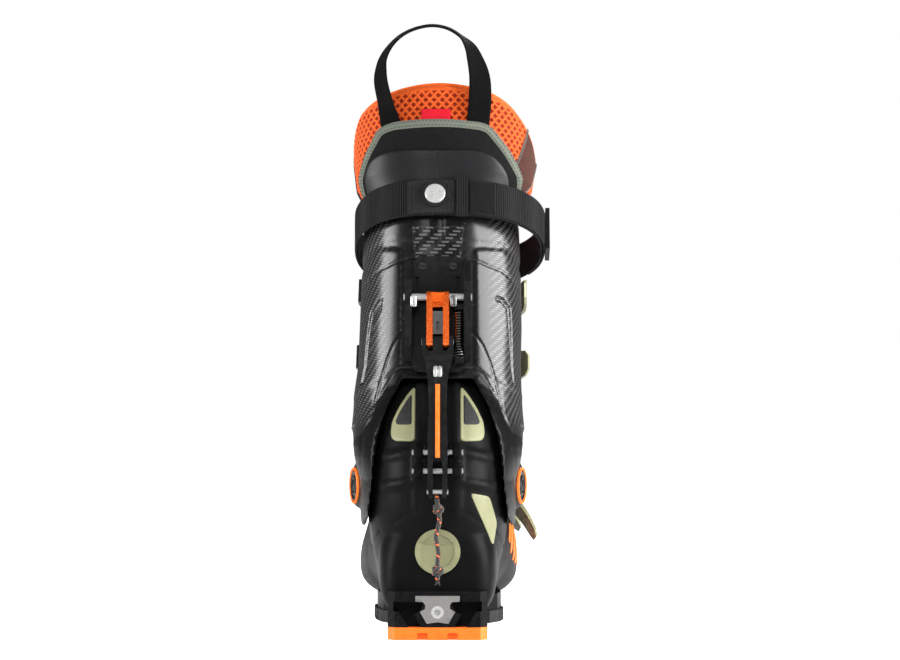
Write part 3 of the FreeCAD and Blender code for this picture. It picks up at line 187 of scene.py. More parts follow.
def remeshed(name, node, voxel, smoothing=4):
    """An even, smooth copy of a CAD node's mesh, ready for surface detail."""
    mesh = frame["nodes"][node].data.copy()
    mesh.materials.clear()
    obj = link(name, mesh)
    modifier(obj, "REMESH", mode="VOXEL", voxel_size=voxel * MM)
    modifier(obj, "SMOOTH", factor=0.5, iterations=smoothing)
    return apply_all(obj)


def tube_mesh(name, centres, radius, around=10, wobble=None):
    """A round cord along a line of points in millimetres; UV runs round and along it."""
    centres = np.asarray(centres, float)
    count = len(centres)
    radii = np.broadcast_to(np.asarray(radius, float), (count,))
    ahead = np.gradient(centres, axis=0)
    ahead /= np.linalg.norm(ahead, axis=1)[:, None]
    across = np.cross(ahead[0], [0.3, 0.5, 0.8])
    points = np.zeros((count, around, 3))
    uv = np.zeros((count, around, 2))
    along = 0.0
    for row in range(count):
        across = across - ahead[row] * across.dot(ahead[row])
        across /= np.linalg.norm(across)
        up = np.cross(ahead[row], across)
        angle = 2 * np.pi * np.arange(around) / around
        ring = np.cos(angle)[:, None] * across + np.sin(angle)[:, None] * up
        points[row] = centres[row] + ring * radii[row]
        along += 0 if row == 0 else float(np.linalg.norm(centres[row] - centres[row - 1]))
        uv[row, :, 0] = angle
        uv[row, :, 1] = along
    obj = sheet(name, points, closed=True, uv=uv)
    mesh = bmesh.new()
    mesh.from_mesh(obj.data)
    bmesh.ops.holes_fill(mesh, edges=[e for e in mesh.edges if e.is_boundary])
    mesh.to_mesh(obj.data)
    mesh.free()
    shade_smooth(obj.data)
    return obj


def smooth_line(points, count):
    """A curve through a few points, sampled evenly in count steps."""
    points = np.asarray(points, float)
    chord = np.concatenate([[0], np.cumsum(np.linalg.norm(np.diff(points, axis=0), axis=1))])
    fine = np.linspace(0, chord[-1], count * 4)
    slopes = np.gradient(points, chord, axis=0)
    spot = np.clip(np.searchsorted(chord, fine, side="right") - 1, 0, len(chord) - 2)
    gap = (chord[spot + 1] - chord[spot])[:, None]
    t = ((fine - chord[spot]) / gap[:, 0])[:, None]
    curve = ((2 * t**3 - 3 * t**2 + 1) * points[spot] + (t**3 - 2 * t**2 + t) * gap * slopes[spot]
             + (3 * t**2 - 2 * t**3) * points[spot + 1] + (t**3 - t**2) * gap * slopes[spot + 1])
    reach = np.concatenate([[0], np.cumsum(np.linalg.norm(np.diff(curve, axis=0), axis=1))])
    even = np.linspace(0, reach[-1], count)
    return np.stack([np.interp(even, reach, curve[:, k]) for k in range(points.shape[1])], -1)


# ---------------------------------------------------------------------------------------------------------------
# Materials
# ---------------------------------------------------------------------------------------------------------------


class Paint:
    """A node material under construction."""

    def __init__(self, name):
        self.material = bpy.data.materials.new(name)
        self.material.use_nodes = True
        self.tree = self.material.node_tree
        self.shader = next(n for n in self.tree.nodes if n.type == "BSDF_PRINCIPLED")

    def put(self, target, value):
        if isinstance(value, bpy.types.NodeSocket):
            self.tree.links.new(value, target)
        elif isinstance(value, tuple) and len(value) == 3 and target.type == "RGBA":
            target.default_value = (*value, 1)
        else:
            target.default_value = value

    def node(self, kind, inputs=None, output=0, **settings):
        made = self.tree.nodes.new(kind)
        for key, value in settings.items():
            setattr(made, key, value)
        for key, value in (inputs or {}).items():
            self.put(made.inputs[key], value)
        return made.outputs[output]

    def maths(self, operation, first, second=0.0):
        return self.node("ShaderNodeMath", {0: first, 1: second}, operation=operation)

    def mix(self, share, first, second):
        made = self.tree.nodes.new("ShaderNodeMix")
        made.data_type = "RGBA"
        self.put(made.inputs[0], share)
        self.put(made.inputs[6], first)
        self.put(made.inputs[7], second)
        return made.outputs[2]

    def noise(self, scale, detail=3.0, stretch=None):
        place = self.node("ShaderNodeTexCoord", output=3)
        if stretch:
            place = self.node("ShaderNodeMapping", {0: place, 3: stretch})
        return self.node("ShaderNodeTexNoise", {"Vector": place, "Scale": scale, "Detail": detail})

    def ramp(self, value, low, high, start=0.0, end=1.0):
        return self.node("ShaderNodeMapRange", {0: value, 1: low, 2: high, 3: start, 4: end})

    def bump(self, height, distance, strength=1.0, normal=None):
        inputs = {"Height": height, "Distance": distance * MM, "Strength": strength}
        if normal is not None:
            inputs["Normal"] = normal
        return self.node("ShaderNodeBump", inputs)

    def uv(self):
        """The two millimetre coordinates along the surface."""
        place = self.node("ShaderNodeUVMap", uv_map="mm")
        split = self.tree.nodes.new("ShaderNodeSeparateXYZ")
        self.put(split.inputs[0], place)
        return split.outputs[0], split.outputs[1]

    def attribute(self, name="tint"):
        return self.node("ShaderNodeAttribute", output=2, attribute_name=name)

    def edges(self):
        """Rises towards 1 on worn convex edges."""
        point = self.node("ShaderNodeNewGeometry", output=7)
        return self.ramp(point, 0.5, 0.58)

    def finish(self, **inputs):
        for key, value in inputs.items():
            self.put(self.shader.inputs[key.replace("_", " ")], value)
        return self.material


def moulded_plastic(name, colour, roughness=0.42, grain=0.05, lift=0.03, shine=0.24):
    """Injection-moulded plastic: fine spark-erosion grain, faint flow marks and slightly polished edges."""
    paint = Paint(name)
    fine = paint.noise(1900, 2)
    cloud = paint.noise(38, 4)
    worn = paint.maths("MULTIPLY", paint.edges(), paint.ramp(paint.noise(260, 3), 0.4, 0.7))
    pale = tuple(min(1, c + lift) for c in colour)
    shade = paint.mix(paint.ramp(cloud, 0.35, 0.7), colour, tuple(c * 0.78 for c in colour))
    rough = paint.maths("ADD", paint.ramp(cloud, 0.3, 0.7, roughness - 0.05, roughness + 0.06),
                        paint.maths("MULTIPLY", worn, -0.08))
    return paint.finish(Base_Color=paint.mix(worn, shade, pale), Roughness=rough,
                        Normal=paint.bump(fine, grain), Specular_IOR_Level=shine)


def anodised(name, colour, roughness=0.3):
    """Anodised aluminium: tinted metal with a fine bead-blasted grain, worn brighter on its edges."""
    paint = Paint(name)
    fine = paint.noise(2600, 2)
    cloud = paint.noise(60, 3)
    shade = paint.mix(paint.ramp(cloud, 0.3, 0.7), colour, tuple(c * 0.86 for c in colour))
    bright = tuple(min(1, c * 1.15 + 0.02) for c in colour)
    rough = paint.ramp(fine, 0.3, 0.7, roughness - 0.02, roughness + 0.03)
    return paint.finish(Base_Color=paint.mix(paint.edges(), shade, bright), Metallic=0.75, Roughness=rough,
                        Normal=paint.bump(fine, 0.002))


def machined_steel(name, colour=(0.62, 0.61, 0.59), stretch=(1, 1, 40), roughness=0.22, metal=1.0):
    """Machined steel with drawn brushing and small stains."""
    paint = Paint(name)
    brush = paint.noise(900, 3, stretch=stretch)
    cloud = paint.noise(120, 3)
    rough = paint.maths("ADD", paint.ramp(brush, 0.3, 0.7, roughness - 0.06, roughness + 0.08),
                        paint.ramp(cloud, 0.55, 0.8, 0, 0.15))
    shade = paint.mix(paint.ramp(cloud, 0.5, 0.8), colour, tuple(c * 0.7 for c in colour))
    return paint.finish(Base_Color=shade, Metallic=metal, Roughness=rough, Normal=paint.bump(brush, 0.008))


def moulded_rubber(name, colour, roughness=0.55):
    paint = Paint(name)
    fine = paint.noise(1500, 3)
    dirt = paint.ramp(paint.noise(90, 4), 0.5, 0.75)
    shade = paint.mix(dirt, colour, tuple(c * 0.72 for c in colour))
    rough = paint.maths("ADD", paint.maths("MULTIPLY", dirt, 0.15), roughness)
    return paint.finish(Base_Color=shade, Roughness=rough, Normal=paint.bump(fine, 0.06), Specular_IOR_Level=0.35)


TWILL_FINE, TWILL_COARSE = 1.55, 2.6


def carbon_twill(name):
    """Clear-coated 2x2 twill: the tow that lies on top turns the light one way, the crossing tow the other. Its glint
    is painted in too: the upright tows and each tow's crown are painted pale, the gaps between tows painted dark.
    """
    paint = Paint(name)
    across, along = paint.uv()
    coarse = paint.attribute("coarse")
    weave = paint.attribute("weave")
    cell = paint.maths("ADD", TWILL_FINE, paint.maths("MULTIPLY", coarse, TWILL_COARSE - TWILL_FINE))
    s, t = paint.maths("DIVIDE", across, cell), paint.maths("DIVIDE", along, cell)
    step = paint.maths("SUBTRACT", paint.maths("FLOOR", s), paint.maths("FLOOR", t))
    turn = paint.maths("FLOORED_MODULO", step, 4.0)
    upright = paint.maths("LESS_THAN", turn, 1.5)
    half_turn = math.pi
    ridge_s = paint.maths("SINE", paint.maths("MULTIPLY", paint.maths("FRACT", s), half_turn))
    ridge_t = paint.maths("SINE", paint.maths("MULTIPLY", paint.maths("FRACT", t), half_turn))
    fibre_s = paint.maths("SINE", paint.maths("MULTIPLY", across, 22.0))
    fibre_t = paint.maths("SINE", paint.maths("MULTIPLY", along, 22.0))
    ridge = paint.node("ShaderNodeMix", {0: upright, 2: ridge_t, 3: ridge_s}, data_type="FLOAT")
    fibre = paint.node("ShaderNodeMix", {0: upright, 2: fibre_t, 3: fibre_s}, data_type="FLOAT")
    height = paint.maths("MULTIPLY", ridge, weave)
    # Painted highlight and shade: each tow's crown is painted bright and its edges dark.
    glow = paint.maths("MULTIPLY", paint.ramp(ridge, 0.5, 1.0), weave)
    # Painted glint: the upright tows are painted pale grey, the crossing tows near black.
    tow = paint.mix(upright, (0.105, 0.1, 0.096), (0.004, 0.004, 0.0045))
    shade = paint.mix(glow, (0.003, 0.003, 0.0035), tow)
    speck = paint.ramp(paint.noise(520, 2), 0.66, 0.74, 0, 0.7)
    bare = paint.maths("SUBTRACT", 1.0, weave)
    shade = paint.mix(paint.maths("MULTIPLY", speck, bare), shade, (0.05, 0.05, 0.05))
    normal = paint.bump(fibre, 0.01, normal=paint.bump(height, 0.16))
    coat = paint.bump(paint.noise(900, 3), 0.02)
    matte = paint.attribute("matte")
    rough = paint.ramp(matte, 0, 1, 0.42, 0.34)
    gloss = paint.ramp(matte, 0, 1, 0.6, 0.1)
    return paint.finish(Base_Color=shade, Roughness=rough, Metallic=0.15, Normal=normal, Coat_Weight=gloss,
                        Coat_Roughness=0.23, Coat_Normal=coat, Specular_IOR_Level=0.08)


def webbing(name, colour=(0.014, 0.014, 0.015), rib=1.7, gloss=0.12):
    """Woven nylon webbing: ribs across the strap and fine picks along it, their crests painted paler than their valleys
    as painted shade.
    """
    paint = Paint(name)
    across, along = paint.uv()
    ribs = paint.maths("SINE", paint.maths("MULTIPLY", across, 2 * math.pi / rib))
    picks = paint.maths("SINE", paint.maths("MULTIPLY", along, 2 * math.pi / 0.9))
    height = paint.maths("ADD", ribs, paint.maths("MULTIPLY", picks, 0.5))
    fuzz = paint.noise(3000, 2)
    pale = tuple(c * 3.4 for c in colour)
    # Painted shade: the crests of ribs and picks are painted pale, their valleys dark.
    shade = paint.mix(paint.ramp(height, -0.4, 1.5, 0, 0.8), colour, pale)
    shade = paint.mix(paint.ramp(fuzz, 0.55, 0.8, 0, 0.4), shade, pale)
    return paint.finish(Base_Color=shade, Roughness=0.66, Normal=paint.bump(height, 0.16), Sheen_Weight=0.02,
                        Specular_IOR_Level=gloss)


def felt(name, colour):
    paint = Paint(name)
    fuzz = paint.noise(1400, 6)
    clump = paint.noise(210, 4)
    pale = tuple(c * 2.2 + 0.002 for c in colour)
    shade = paint.mix(paint.ramp(fuzz, 0.45, 0.75), colour, pale)
    return paint.finish(Base_Color=shade, Roughness=0.95, Specular_IOR_Level=0.08, Sheen_Weight=0.03,
                        Normal=paint.bump(paint.maths("ADD", fuzz, clump), 0.5))


def spacer_mesh(name):
    """Orange spacer mesh: pale open-work face with pits painted darker as painted shade, and a black net with orange
    dots at its side.
    """
    paint = Paint(name)
    pit = paint.attribute("tint")
    across, along = paint.uv()
    fuzz = paint.noise(2400, 3)
    knit = paint.noise(700, 2)
    face = paint.mix(paint.ramp(knit, 0.35, 0.7), (0.72, 0.108, 0.014), (0.56, 0.066, 0.009))
    # Painted shade: the colour seen down in the pits.
    deep = paint.mix(paint.ramp(fuzz, 0.3, 0.7), (0.29, 0.026, 0.005), (0.18, 0.013, 0.003))
    # Painted shade: the pit mask darkens the face towards each pit's bottom.
    mesh = paint.mix(paint.ramp(pit, 0.15, 0.8), face, deep)
    dots = paint.maths("MULTIPLY", paint.maths("SINE", paint.maths("MULTIPLY", across, 2 * math.pi / 3.0)),
                       paint.maths("SINE", paint.maths("MULTIPLY", along, 2 * math.pi / 3.0)))
    net = paint.mix(paint.ramp(paint.maths("ABSOLUTE", dots), 0.78, 0.95), (0.003, 0.003, 0.003), (0.4, 0.045, 0.008))
    height = paint.maths("ADD", fuzz, knit)
    return paint.finish(Base_Color=paint.mix(paint.ramp(paint.attribute("net"), 0.45, 0.55), mesh, net), Roughness=0.8,
                        Sheen_Weight=0.15, Sheen_Tint=(1.0, 0.6, 0.4), Specular_IOR_Level=0.25,
                        Normal=paint.bump(height, 0.12))


def binding_tape(name):
    """Grey-green woven binding with a herringbone of fine ribs, their crests painted light and their hollows dark as
    painted shade.
    """
    paint = Paint(name)
    across, along = paint.uv()
    zig = paint.maths("PINGPONG", along, 1.1)
    ribs = paint.maths("SINE", paint.maths("MULTIPLY", paint.maths("ADD", across, zig), 2 * math.pi / 0.95))
    # Painted shade: rib crests painted light, their hollows dark.
    shade = paint.mix(paint.ramp(ribs, -1, 1), (0.075, 0.085, 0.066), (0.225, 0.245, 0.20))
    return paint.finish(Base_Color=shade, Roughness=0.8, Normal=paint.bump(ribs, 0.12), Specular_IOR_Level=0.25)


def flecked_cord(name):
    """Black braided cord with orange flecks that spiral round it; the braid's crests are painted paler as painted
    shade.
    """
    paint = Paint(name)
    around, along = paint.uv()
    spiral = paint.maths("ADD", around, paint.maths("MULTIPLY", along, 0.75))
    fleck = paint.maths("GREATER_THAN", paint.maths("SINE", spiral), 0.78)
    gate = paint.maths("GREATER_THAN", paint.maths("SINE", paint.maths("MULTIPLY", along, 2.4)), -0.3)
    braid_a = paint.maths("SINE", paint.maths("ADD", paint.maths("MULTIPLY", around, 6.0), paint.maths("MULTIPLY", along, 5.0)))
    braid_b = paint.maths("SINE", paint.maths("SUBTRACT", paint.maths("MULTIPLY", around, 6.0), paint.maths("MULTIPLY", along, 5.0)))
    braid = paint.maths("MULTIPLY", braid_a, braid_b)
    # Painted shade: the braid's crests painted paler than its hollows.
    black = paint.mix(paint.ramp(braid, -1, 1), (0.008, 0.008, 0.008), (0.03, 0.03, 0.03))
    return paint.finish(Base_Color=paint.mix(paint.maths("MULTIPLY", fleck, gate), black, (0.9, 0.16, 0.02)), Roughness=0.7,
                        Normal=paint.bump(braid, 0.16), Sheen_Weight=0.2)


def woven_window(name):
    """Fine dark grille cloth."""
    paint = Paint(name)
    place = paint.node("ShaderNodeTexCoord", output=3)
    cells = paint.node("ShaderNodeTexVoronoi", {"Vector": place, "Scale": 900.0})
    return paint.finish(Base_Color=paint.mix(paint.ramp(cells, 0.1, 0.5), (0.03, 0.03, 0.03), (0.008, 0.008, 0.008)),
                        Roughness=0.75, Normal=paint.bump(cells, 0.15))


def stitched_thread(name, colour):
    paint = Paint(name)
    twist = paint.noise(2200, 2, stretch=(1, 1, 0.3))
    return paint.finish(Base_Color=paint.mix(twist, colour, tuple(c * 0.6 for c in colour)), Roughness=0.6,
                        Normal=paint.bump(twist, 0.08))


BLACK = moulded_plastic("shell_black", (0.0065, 0.0065, 0.0068), 0.36, lift=0.004, shine=0.035)
SATIN = moulded_plastic("satin_black", (0.0075, 0.0075, 0.008), 0.35, grain=0.01, lift=0.007, shine=0.08)
SPOILER_GREY = moulded_plastic("spoiler_grey", (0.0145, 0.0145, 0.0155), 0.34, grain=0.02, shine=0.17)
KHAKI = moulded_plastic("khaki_plastic", (0.255, 0.255, 0.14), 0.42, grain=0.02)
KHAKI_METAL = moulded_plastic("khaki_metal", (0.25, 0.245, 0.13), 0.34, grain=0.015, lift=0.035)
CARBON = carbon_twill("carbon_twill")
ORANGE_METAL = anodised("orange_anodised", (0.92, 0.13, 0.008), 0.24)
ORANGE_PAINT = moulded_plastic("orange_paint", (0.93, 0.19, 0.015), 0.4, grain=0.02)
BLACK_METAL = anodised("black_anodised", (0.014, 0.014, 0.015), 0.3)
GREY_METAL = anodised("grey_anodised", (0.13, 0.13, 0.13), 0.36)
STEEL = machined_steel("machined_steel")
# Painted reflection: half-metal steel whose light grey colour shows bright where real steel would mirror the dark room.
STEEL_PAINTED_SHINE = machined_steel("steel_painted_shine", (0.5, 0.5, 0.49), (1, 1, 1), 0.3, metal=0.4)
DARK_STEEL = machined_steel("dark_steel", (0.16, 0.155, 0.15), roughness=0.3)
PLATE_STEEL = machined_steel("plate_steel", (0.34, 0.33, 0.32), (40, 1, 1), 0.24)
ORANGE_RUBBER = moulded_rubber("orange_rubber", (0.98, 0.18, 0.012))
BLACK_RUBBER = moulded_rubber("black_rubber", (0.016, 0.0155, 0.015))
STRAP = webbing("strap_webbing", (0.006, 0.006, 0.0064), gloss=0.1)
LOOP = webbing("loop_webbing", (0.0016, 0.0016, 0.0016), rib=0.9, gloss=0.04)
SATIN_CLOTH = webbing("patch_cloth", (0.009, 0.009, 0.0095), rib=0.6)
FELT = felt("black_felt", (0.006, 0.006, 0.006))
LINING = felt("lining", (0.014, 0.014, 0.015))
MESH_ORANGE = spacer_mesh("orange_mesh")
PIPING = felt("orange_piping", (0.72, 0.105, 0.012))
TAPE = binding_tape("binding_tape")
CORD = flecked_cord("flecked_cord")
WINDOW = woven_window("window_mesh")
GREY_THREAD = stitched_thread("grey_thread", (0.14, 0.145, 0.13))
DARK_THREAD = stitched_thread("dark_thread", (0.02, 0.02, 0.02))
RED_TAG = webbing("red_tag", (0.5, 0.0075, 0.02), rib=0.5)
FOAM = felt("grey_foam", (0.1, 0.1, 0.1))


def dress(obj, material):
    obj.data.materials.clear()
    obj.data.materials.append(material)
    return obj


def piece(obj, body, material, replaces=()):
    """A finished piece: its material, the body it rides on and the CAD nodes it stands for."""
    dress(obj, material)
    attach(obj, body)
    if replaces:
        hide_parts(*replaces)
    return obj


# ---------------------------------------------------------------------------------------------------------------
# CAD nodes that stay as they are: crisp hardware with small bevels
# ---------------------------------------------------------------------------------------------------------------

HARDWARE = {
    BLACK: ["heel_block", "toe_block"],
    SATIN: ["lock_housing", "instep_ladder", "forefoot_ladder", "upper_cuff_ladder", "lower_cuff_ladder",
            "strap_buckle", "lock_arm"],
    BLACK_METAL: ["upper_cuff_buckle_base", "lower_cuff_buckle_base", "instep_buckle_base", "forefoot_buckle_base",
                  "strap_washer", "housing_screws"],
    KHAKI_METAL: ["upper_cuff_lever", "lower_cuff_lever", "instep_lever", "forefoot_lever"],
    KHAKI: ["heel_badge"],
    ORANGE_METAL: ["latch_frame"],
    ORANGE_PAINT: ["arm_inlay"],
    GREY_METAL: ["latch_tongue"],
    STEEL: ["toe_binding_fitting", "cuff_buckle_pins", "shell_buckle_pins", "upper_cuff_bail", "lower_cuff_bail",
            "instep_bail", "forefoot_bail"],
    STEEL_PAINTED_SHINE: ["catch_pins", "heel_plate_screw", "frame_pin", "knuckle_pin", "cord_pin", "strap_rivet"],
    DARK_STEEL: ["lock_spring"],
    PLATE_STEEL: ["heel_binding_plate"],
    ORANGE_RUBBER: ["heel_tread"],
    BLACK_RUBBER: ["forefoot_tread"],
    FOAM: ["boot_board", "footbed"],
}
ROUND_NODES = {"lock_spring", "upper_cuff_bail", "lower_cuff_bail", "instep_bail", "forefoot_bail"}


def dress_hardware():
    for material, names in HARDWARE.items():
        for name in names:
            obj = frame["nodes"][name]
            for slot in obj.material_slots:
                slot.material = material
            if name not in ROUND_NODES:
                modifier(obj, "BEVEL", width=0.35 * MM, segments=2, limit_method="ANGLE", angle_limit=math.radians(38),
                         harden_normals=True)


dress_hardware()

# ---------------------------------------------------------------------------------------------------------------
# Plastic skins: even copies of the CAD shells that carry grooves, panels and soft edges
# ---------------------------------------------------------------------------------------------------------------


def line_distance(x, z, line):
    """Distance of points from a polyline, in the plane that the line is drawn in."""
    best = np.full(len(x), 1e9)
    for (x0, z0), (x1, z1) in zip(line, line[1:]):
        dx, dz = x1 - x0, z1 - z0
        share = np.clip(((x - x0) * dx + (z - z0) * dz) / (dx * dx + dz * dz), 0, 1)
        best = np.minimum(best, np.hypot(x - x0 - share * dx, z - z0 - share * dz))
    return best


def inside(x, z, polygon):
    """Whether points lie inside a polygon."""
    hit = np.zeros(len(x), bool)
    for (x0, z0), (x1, z1) in zip(polygon, polygon[1:] + polygon[:1]):
        if z0 != z1:
            hit ^= ((z0 > z) != (z1 > z)) & (x < (x1 - x0) * (z - z0) / (z1 - z0) + x0)
    return hit


def signed_distance(x, z, polygon):
    """Depth inside a polygon, negative outside."""
    away = line_distance(x, z, polygon + polygon[:1])
    return np.where(inside(x, z, polygon), away, -away)


COARSE_PANEL = [(-18.5, 291), (18.5, 291), (16.5, 269), (-16.5, 269)]
SEAM = [(0, 268.6), (19, 268.6), (31, 265.5), (43, 259.5), (55, 248)]
SIDE_CURVE = [(21.5, 217), (26, 214.5), (32, 206), (37, 194), (41, 180), (44, 166), (47.5, 150), (51, 134), (54, 112)]
INNER_POCKET = [(-39.5, 240), (-43.5, 238.5), (-49, 230), (-51.5, 214), (-55, 178), (-53, 175), (-49.5, 196), (-46, 222),
                (-40.5, 231)]
OUTER_POCKET = [(39.3, 238), (40.3, 242), (44.6, 240), (48.9, 233), (50, 218), (52.6, 189), (53.3, 177.5), (52, 178),
                (50.8, 189), (47.5, 217), (45.6, 233), (42.6, 237)]
# Height, and how far the cuff's sides swell out there.
FLARE = np.array([(110, 0), (118, 2.5), (126, 4.8), (134, 6), (145, 5.6), (155, 3.8), (165, 2.7), (178, 1.4), (190, 0)])
# The same for the upper part of the outer side alone.
OUTER_SWELL = np.array([(172, 0), (190, 2.0), (217, 3.8), (250, 4.6), (300, 5.0)])
BOSS_OUT, BOSS_TILT = 60.2, 0.24


def relaxed(obj, points, share, rounds):
    """Points drawn to the middle of their neighbours again and again, as far as their share allows."""
    edges = np.empty(len(obj.data.edges) * 2, int)
    obj.data.edges.foreach_get("vertices", edges)
    first, second = edges.reshape(-1, 2).T
    near = (share[first] > 0) | (share[second] > 0)
    first, second = first[near], second[near]
    count = np.maximum(np.bincount(first, minlength=len(points)) + np.bincount(second, minlength=len(points)), 1)
    points = points.copy()
    for _ in range(rounds):
        for axis in (0, 1):
            value = points[:, axis]
            total = np.bincount(first, value[second], len(points)) + np.bincount(second, value[first], len(points))
            points[:, axis] = value + (total / count - value) * share
    return points


def flared(points, outside):
    """The cuff's sides swollen out above the ankle, its pivot bosses turned a little to the back."""
    x, y, z = points.T
    side = np.sign(x)
    share = smoothstep((np.abs(x) - 34) / 18) * (0.35 + 0.65 * smoothstep((y + 125) / 60)) * smoothstep((20 - y) / 40)
    swollen = x + side * np.interp(z, FLARE[:, 0], FLARE[:, 1]) * share * outside
    outer = (x > 0) * smoothstep((x - 30) / 20) * smoothstep((y + 125) / 60) * smoothstep((5 - y) / 40)
    swollen += np.interp(z, OUTER_SWELL[:, 0], OUTER_SWELL[:, 1]) * outer * (0.6 + 0.4 * outside)
    away = np.hypot(y - ANKLE[1], z - ANKLE[2])
    boss = (1 - smoothstep((away - 14.0) / 3.5)) * (np.abs(x) > 54) * outside
    well = 3.0 * (1 - smoothstep((away - 11.9) / 0.9))
    dish = side * (BOSS_OUT + BOSS_TILT * (y - ANKLE[1]) - well)
    return np.stack([swollen + boss * (dish - swollen), y, z], -1)


REAR_ARCH = [(-1, 181), (25, 181), (35, 163), (42, 141), (45, 121), (49, 88), (52, 60)]


def cuff_skin():
    obj = remeshed("cuff_skin", "cuff_shell", 1.1, 12)
    points, outward = positions(obj), normals(obj)
    leg = to_leg(points)
    ring = np.hypot(leg[:, 0], leg[:, 1] + LEG_CENTRE * -1)
    radial = np.stack([leg[:, 0], leg[:, 1] - LEG_CENTRE], -1) / np.maximum(ring, 1)[:, None]
    leg_normals = turned(outward, -LEAN)
    outside = np.einsum("ij,ij->i", leg_normals[:, :2], radial) > 0.35
    behind = outside & (points[:, 1] < ANKLE[1] + 4)
    x, z = np.abs(points[:, 0]), points[:, 2]
    move = np.zeros(len(points))
    move -= np.where(behind, 0.7 * (1 - smoothstep(line_distance(x, z, SEAM) / 1.3)), 0)
    move -= np.where(behind, 0.6 * (1 - smoothstep(line_distance(x, z, SIDE_CURVE) / 1.2)), 0)
    for pocket in (INNER_POCKET, OUTER_POCKET):
        move -= np.where(behind, 1.5 * smoothstep(signed_distance(points[:, 0], z, pocket) / 1.1), 0)
    edge = line_distance(x, z, REAR_ARCH)
    trim = behind & (edge < 8.5)
    move -= np.where(behind, 0.7 * (1 - smoothstep(np.abs(edge - 8.5) / 1.0)), 0)
    step = smoothstep((z - 118) / 10) * smoothstep((168 - z) / 10) * smoothstep((x - 36) / 8)
    step *= outside * smoothstep((line_distance(x, z, REAR_ARCH) - 5) / 8) * smoothstep((30 - points[:, 1]) / 20)
    rim = (points[:, 1] < ANKLE[1] + 25) * smoothstep((5.5 - edge) / 3)
    smooth = relaxed(obj, relaxed(obj, points, 0.9 * step, 160), 0.7 * rim, 18)
    set_positions(obj, flared(smooth + outward * move[:, None], outside))
    angle = np.arctan2(leg[:, 0], -(leg[:, 1] - LEG_CENTRE))
    set_uv(obj.data, np.stack([angle * 62, leg[:, 2]], -1))
    coarse = behind & inside(points[:, 0], z, COARSE_PANEL)
    side = smoothstep((x - 33) / 8) * (1 - trim)
    plain = np.where(behind, np.maximum(side, coarse), 1.0)
    low = smoothstep((leg[:, 2] - 28) / 18)
    set_tint(obj.data, coarse, "coarse")
    set_tint(obj.data, plain * low * outside * (1 - trim), "weave")
    set_tint(obj.data, np.where(trim | ~outside | (leg[:, 2] < 30), 1.0, 0.0), "matte")
    return piece(obj, "cuff", CARBON, ["cuff_shell"])


def shell_skin():
    obj = remeshed("shell_skin", "lower_shell", 1.7, 5)
    points, outward = positions(obj), normals(obj)
    x, z = np.abs(points[:, 0]), points[:, 2]
    behind = (points[:, 1] < ANKLE[1]) & (outward[:, 1] < 0.4)
    move = np.where(behind, -0.8 * (1 - smoothstep(line_distance(x, z, [(41, 74), (48, 60), (53, 42)]) / 1.4)), 0)
    move -= np.where(behind, 0.7 * (1 - smoothstep(line_distance(x, z, [(6, 92), (22, 88), (32, 80)]) / 1.2)), 0)
    set_positions(obj, points + outward * move[:, None])
    return piece(obj, "boot_shell", BLACK, ["lower_shell"])


RING_PROFILE = [(13.2, -2.5), (13.3, 1.0), (12.9, 1.6), (11.9, 1.6), (11.5, 1.1), (11.4, -2.5)]
CAP_PROFILE = [(11.2, -1.5), (11.2, 0.7), (10.7, 1.1), (9.4, 1.1), (9.0, 0.5), (7.0, 0.5), (6.6, 1.2), (5.0, 1.5),
               (4.6, 0.2), (3.2, 0.1), (3.0, 0.9), (0.02, 1.2)]


def turned_piece(name, profile, side, lobes=0):
    """A round part about the ankle's axis on one side, its face turned with the boss."""
    angle = np.linspace(0, 2 * np.pi, 96, endpoint=False)
    rings = []
    for radius, out in profile:
        wave = radius * (1 + 0.06 * np.cos(lobes * angle) * (3 < radius < 6)) if lobes else radius + 0 * angle
        y, z = wave * np.cos(angle), wave * np.sin(angle)
        rings.append(np.stack([side * (BOSS_OUT + out + BOSS_TILT * y), ANKLE[1] + y, ANKLE[2] + z], -1))
    return sheet(name, np.array(rings)[:: -int(side)], closed=True)


def pivots():
    for name, side in (("outer", 1), ("inner", -1)):
        ring = piece(turned_piece(f"pivot_ring_{name}", RING_PROFILE, side), "cuff", ORANGE_PAINT)
        cap = piece(turned_piece(f"pivot_cap_{name}", CAP_PROFILE, side, 6), "boot_shell", BLACK_METAL)
        if side == 1:
            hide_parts("pivot_rings")
            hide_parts("pivot_studs")


def turned_across(name, centre, profile):
    """A round part whose axis lies across the boot."""
    angle = np.linspace(0, 2 * np.pi, 64, endpoint=False)
    x0, y0, z0 = centre
    rings = [np.stack([x0 + across + 0 * angle, y0 + radius * np.cos(angle), z0 + radius * np.sin(angle)], -1)
             for radius, across in profile]
    return sheet(name, np.array(rings)[::-1], closed=True)


BUTTON_PROFILE = [(0.02, -3.4), (1.4, -3.4), (1.6, -3.1), (4.2, -3.1), (4.9, -2.7), (5.2, -2.0), (5.2, -0.7), (4.8, -0.5),
                  (4.8, 0.5), (5.2, 0.7), (5.2, 2.0), (4.9, 2.7), (4.2, 3.1), (1.6, 3.1), (1.4, 3.4), (0.02, 3.4)]


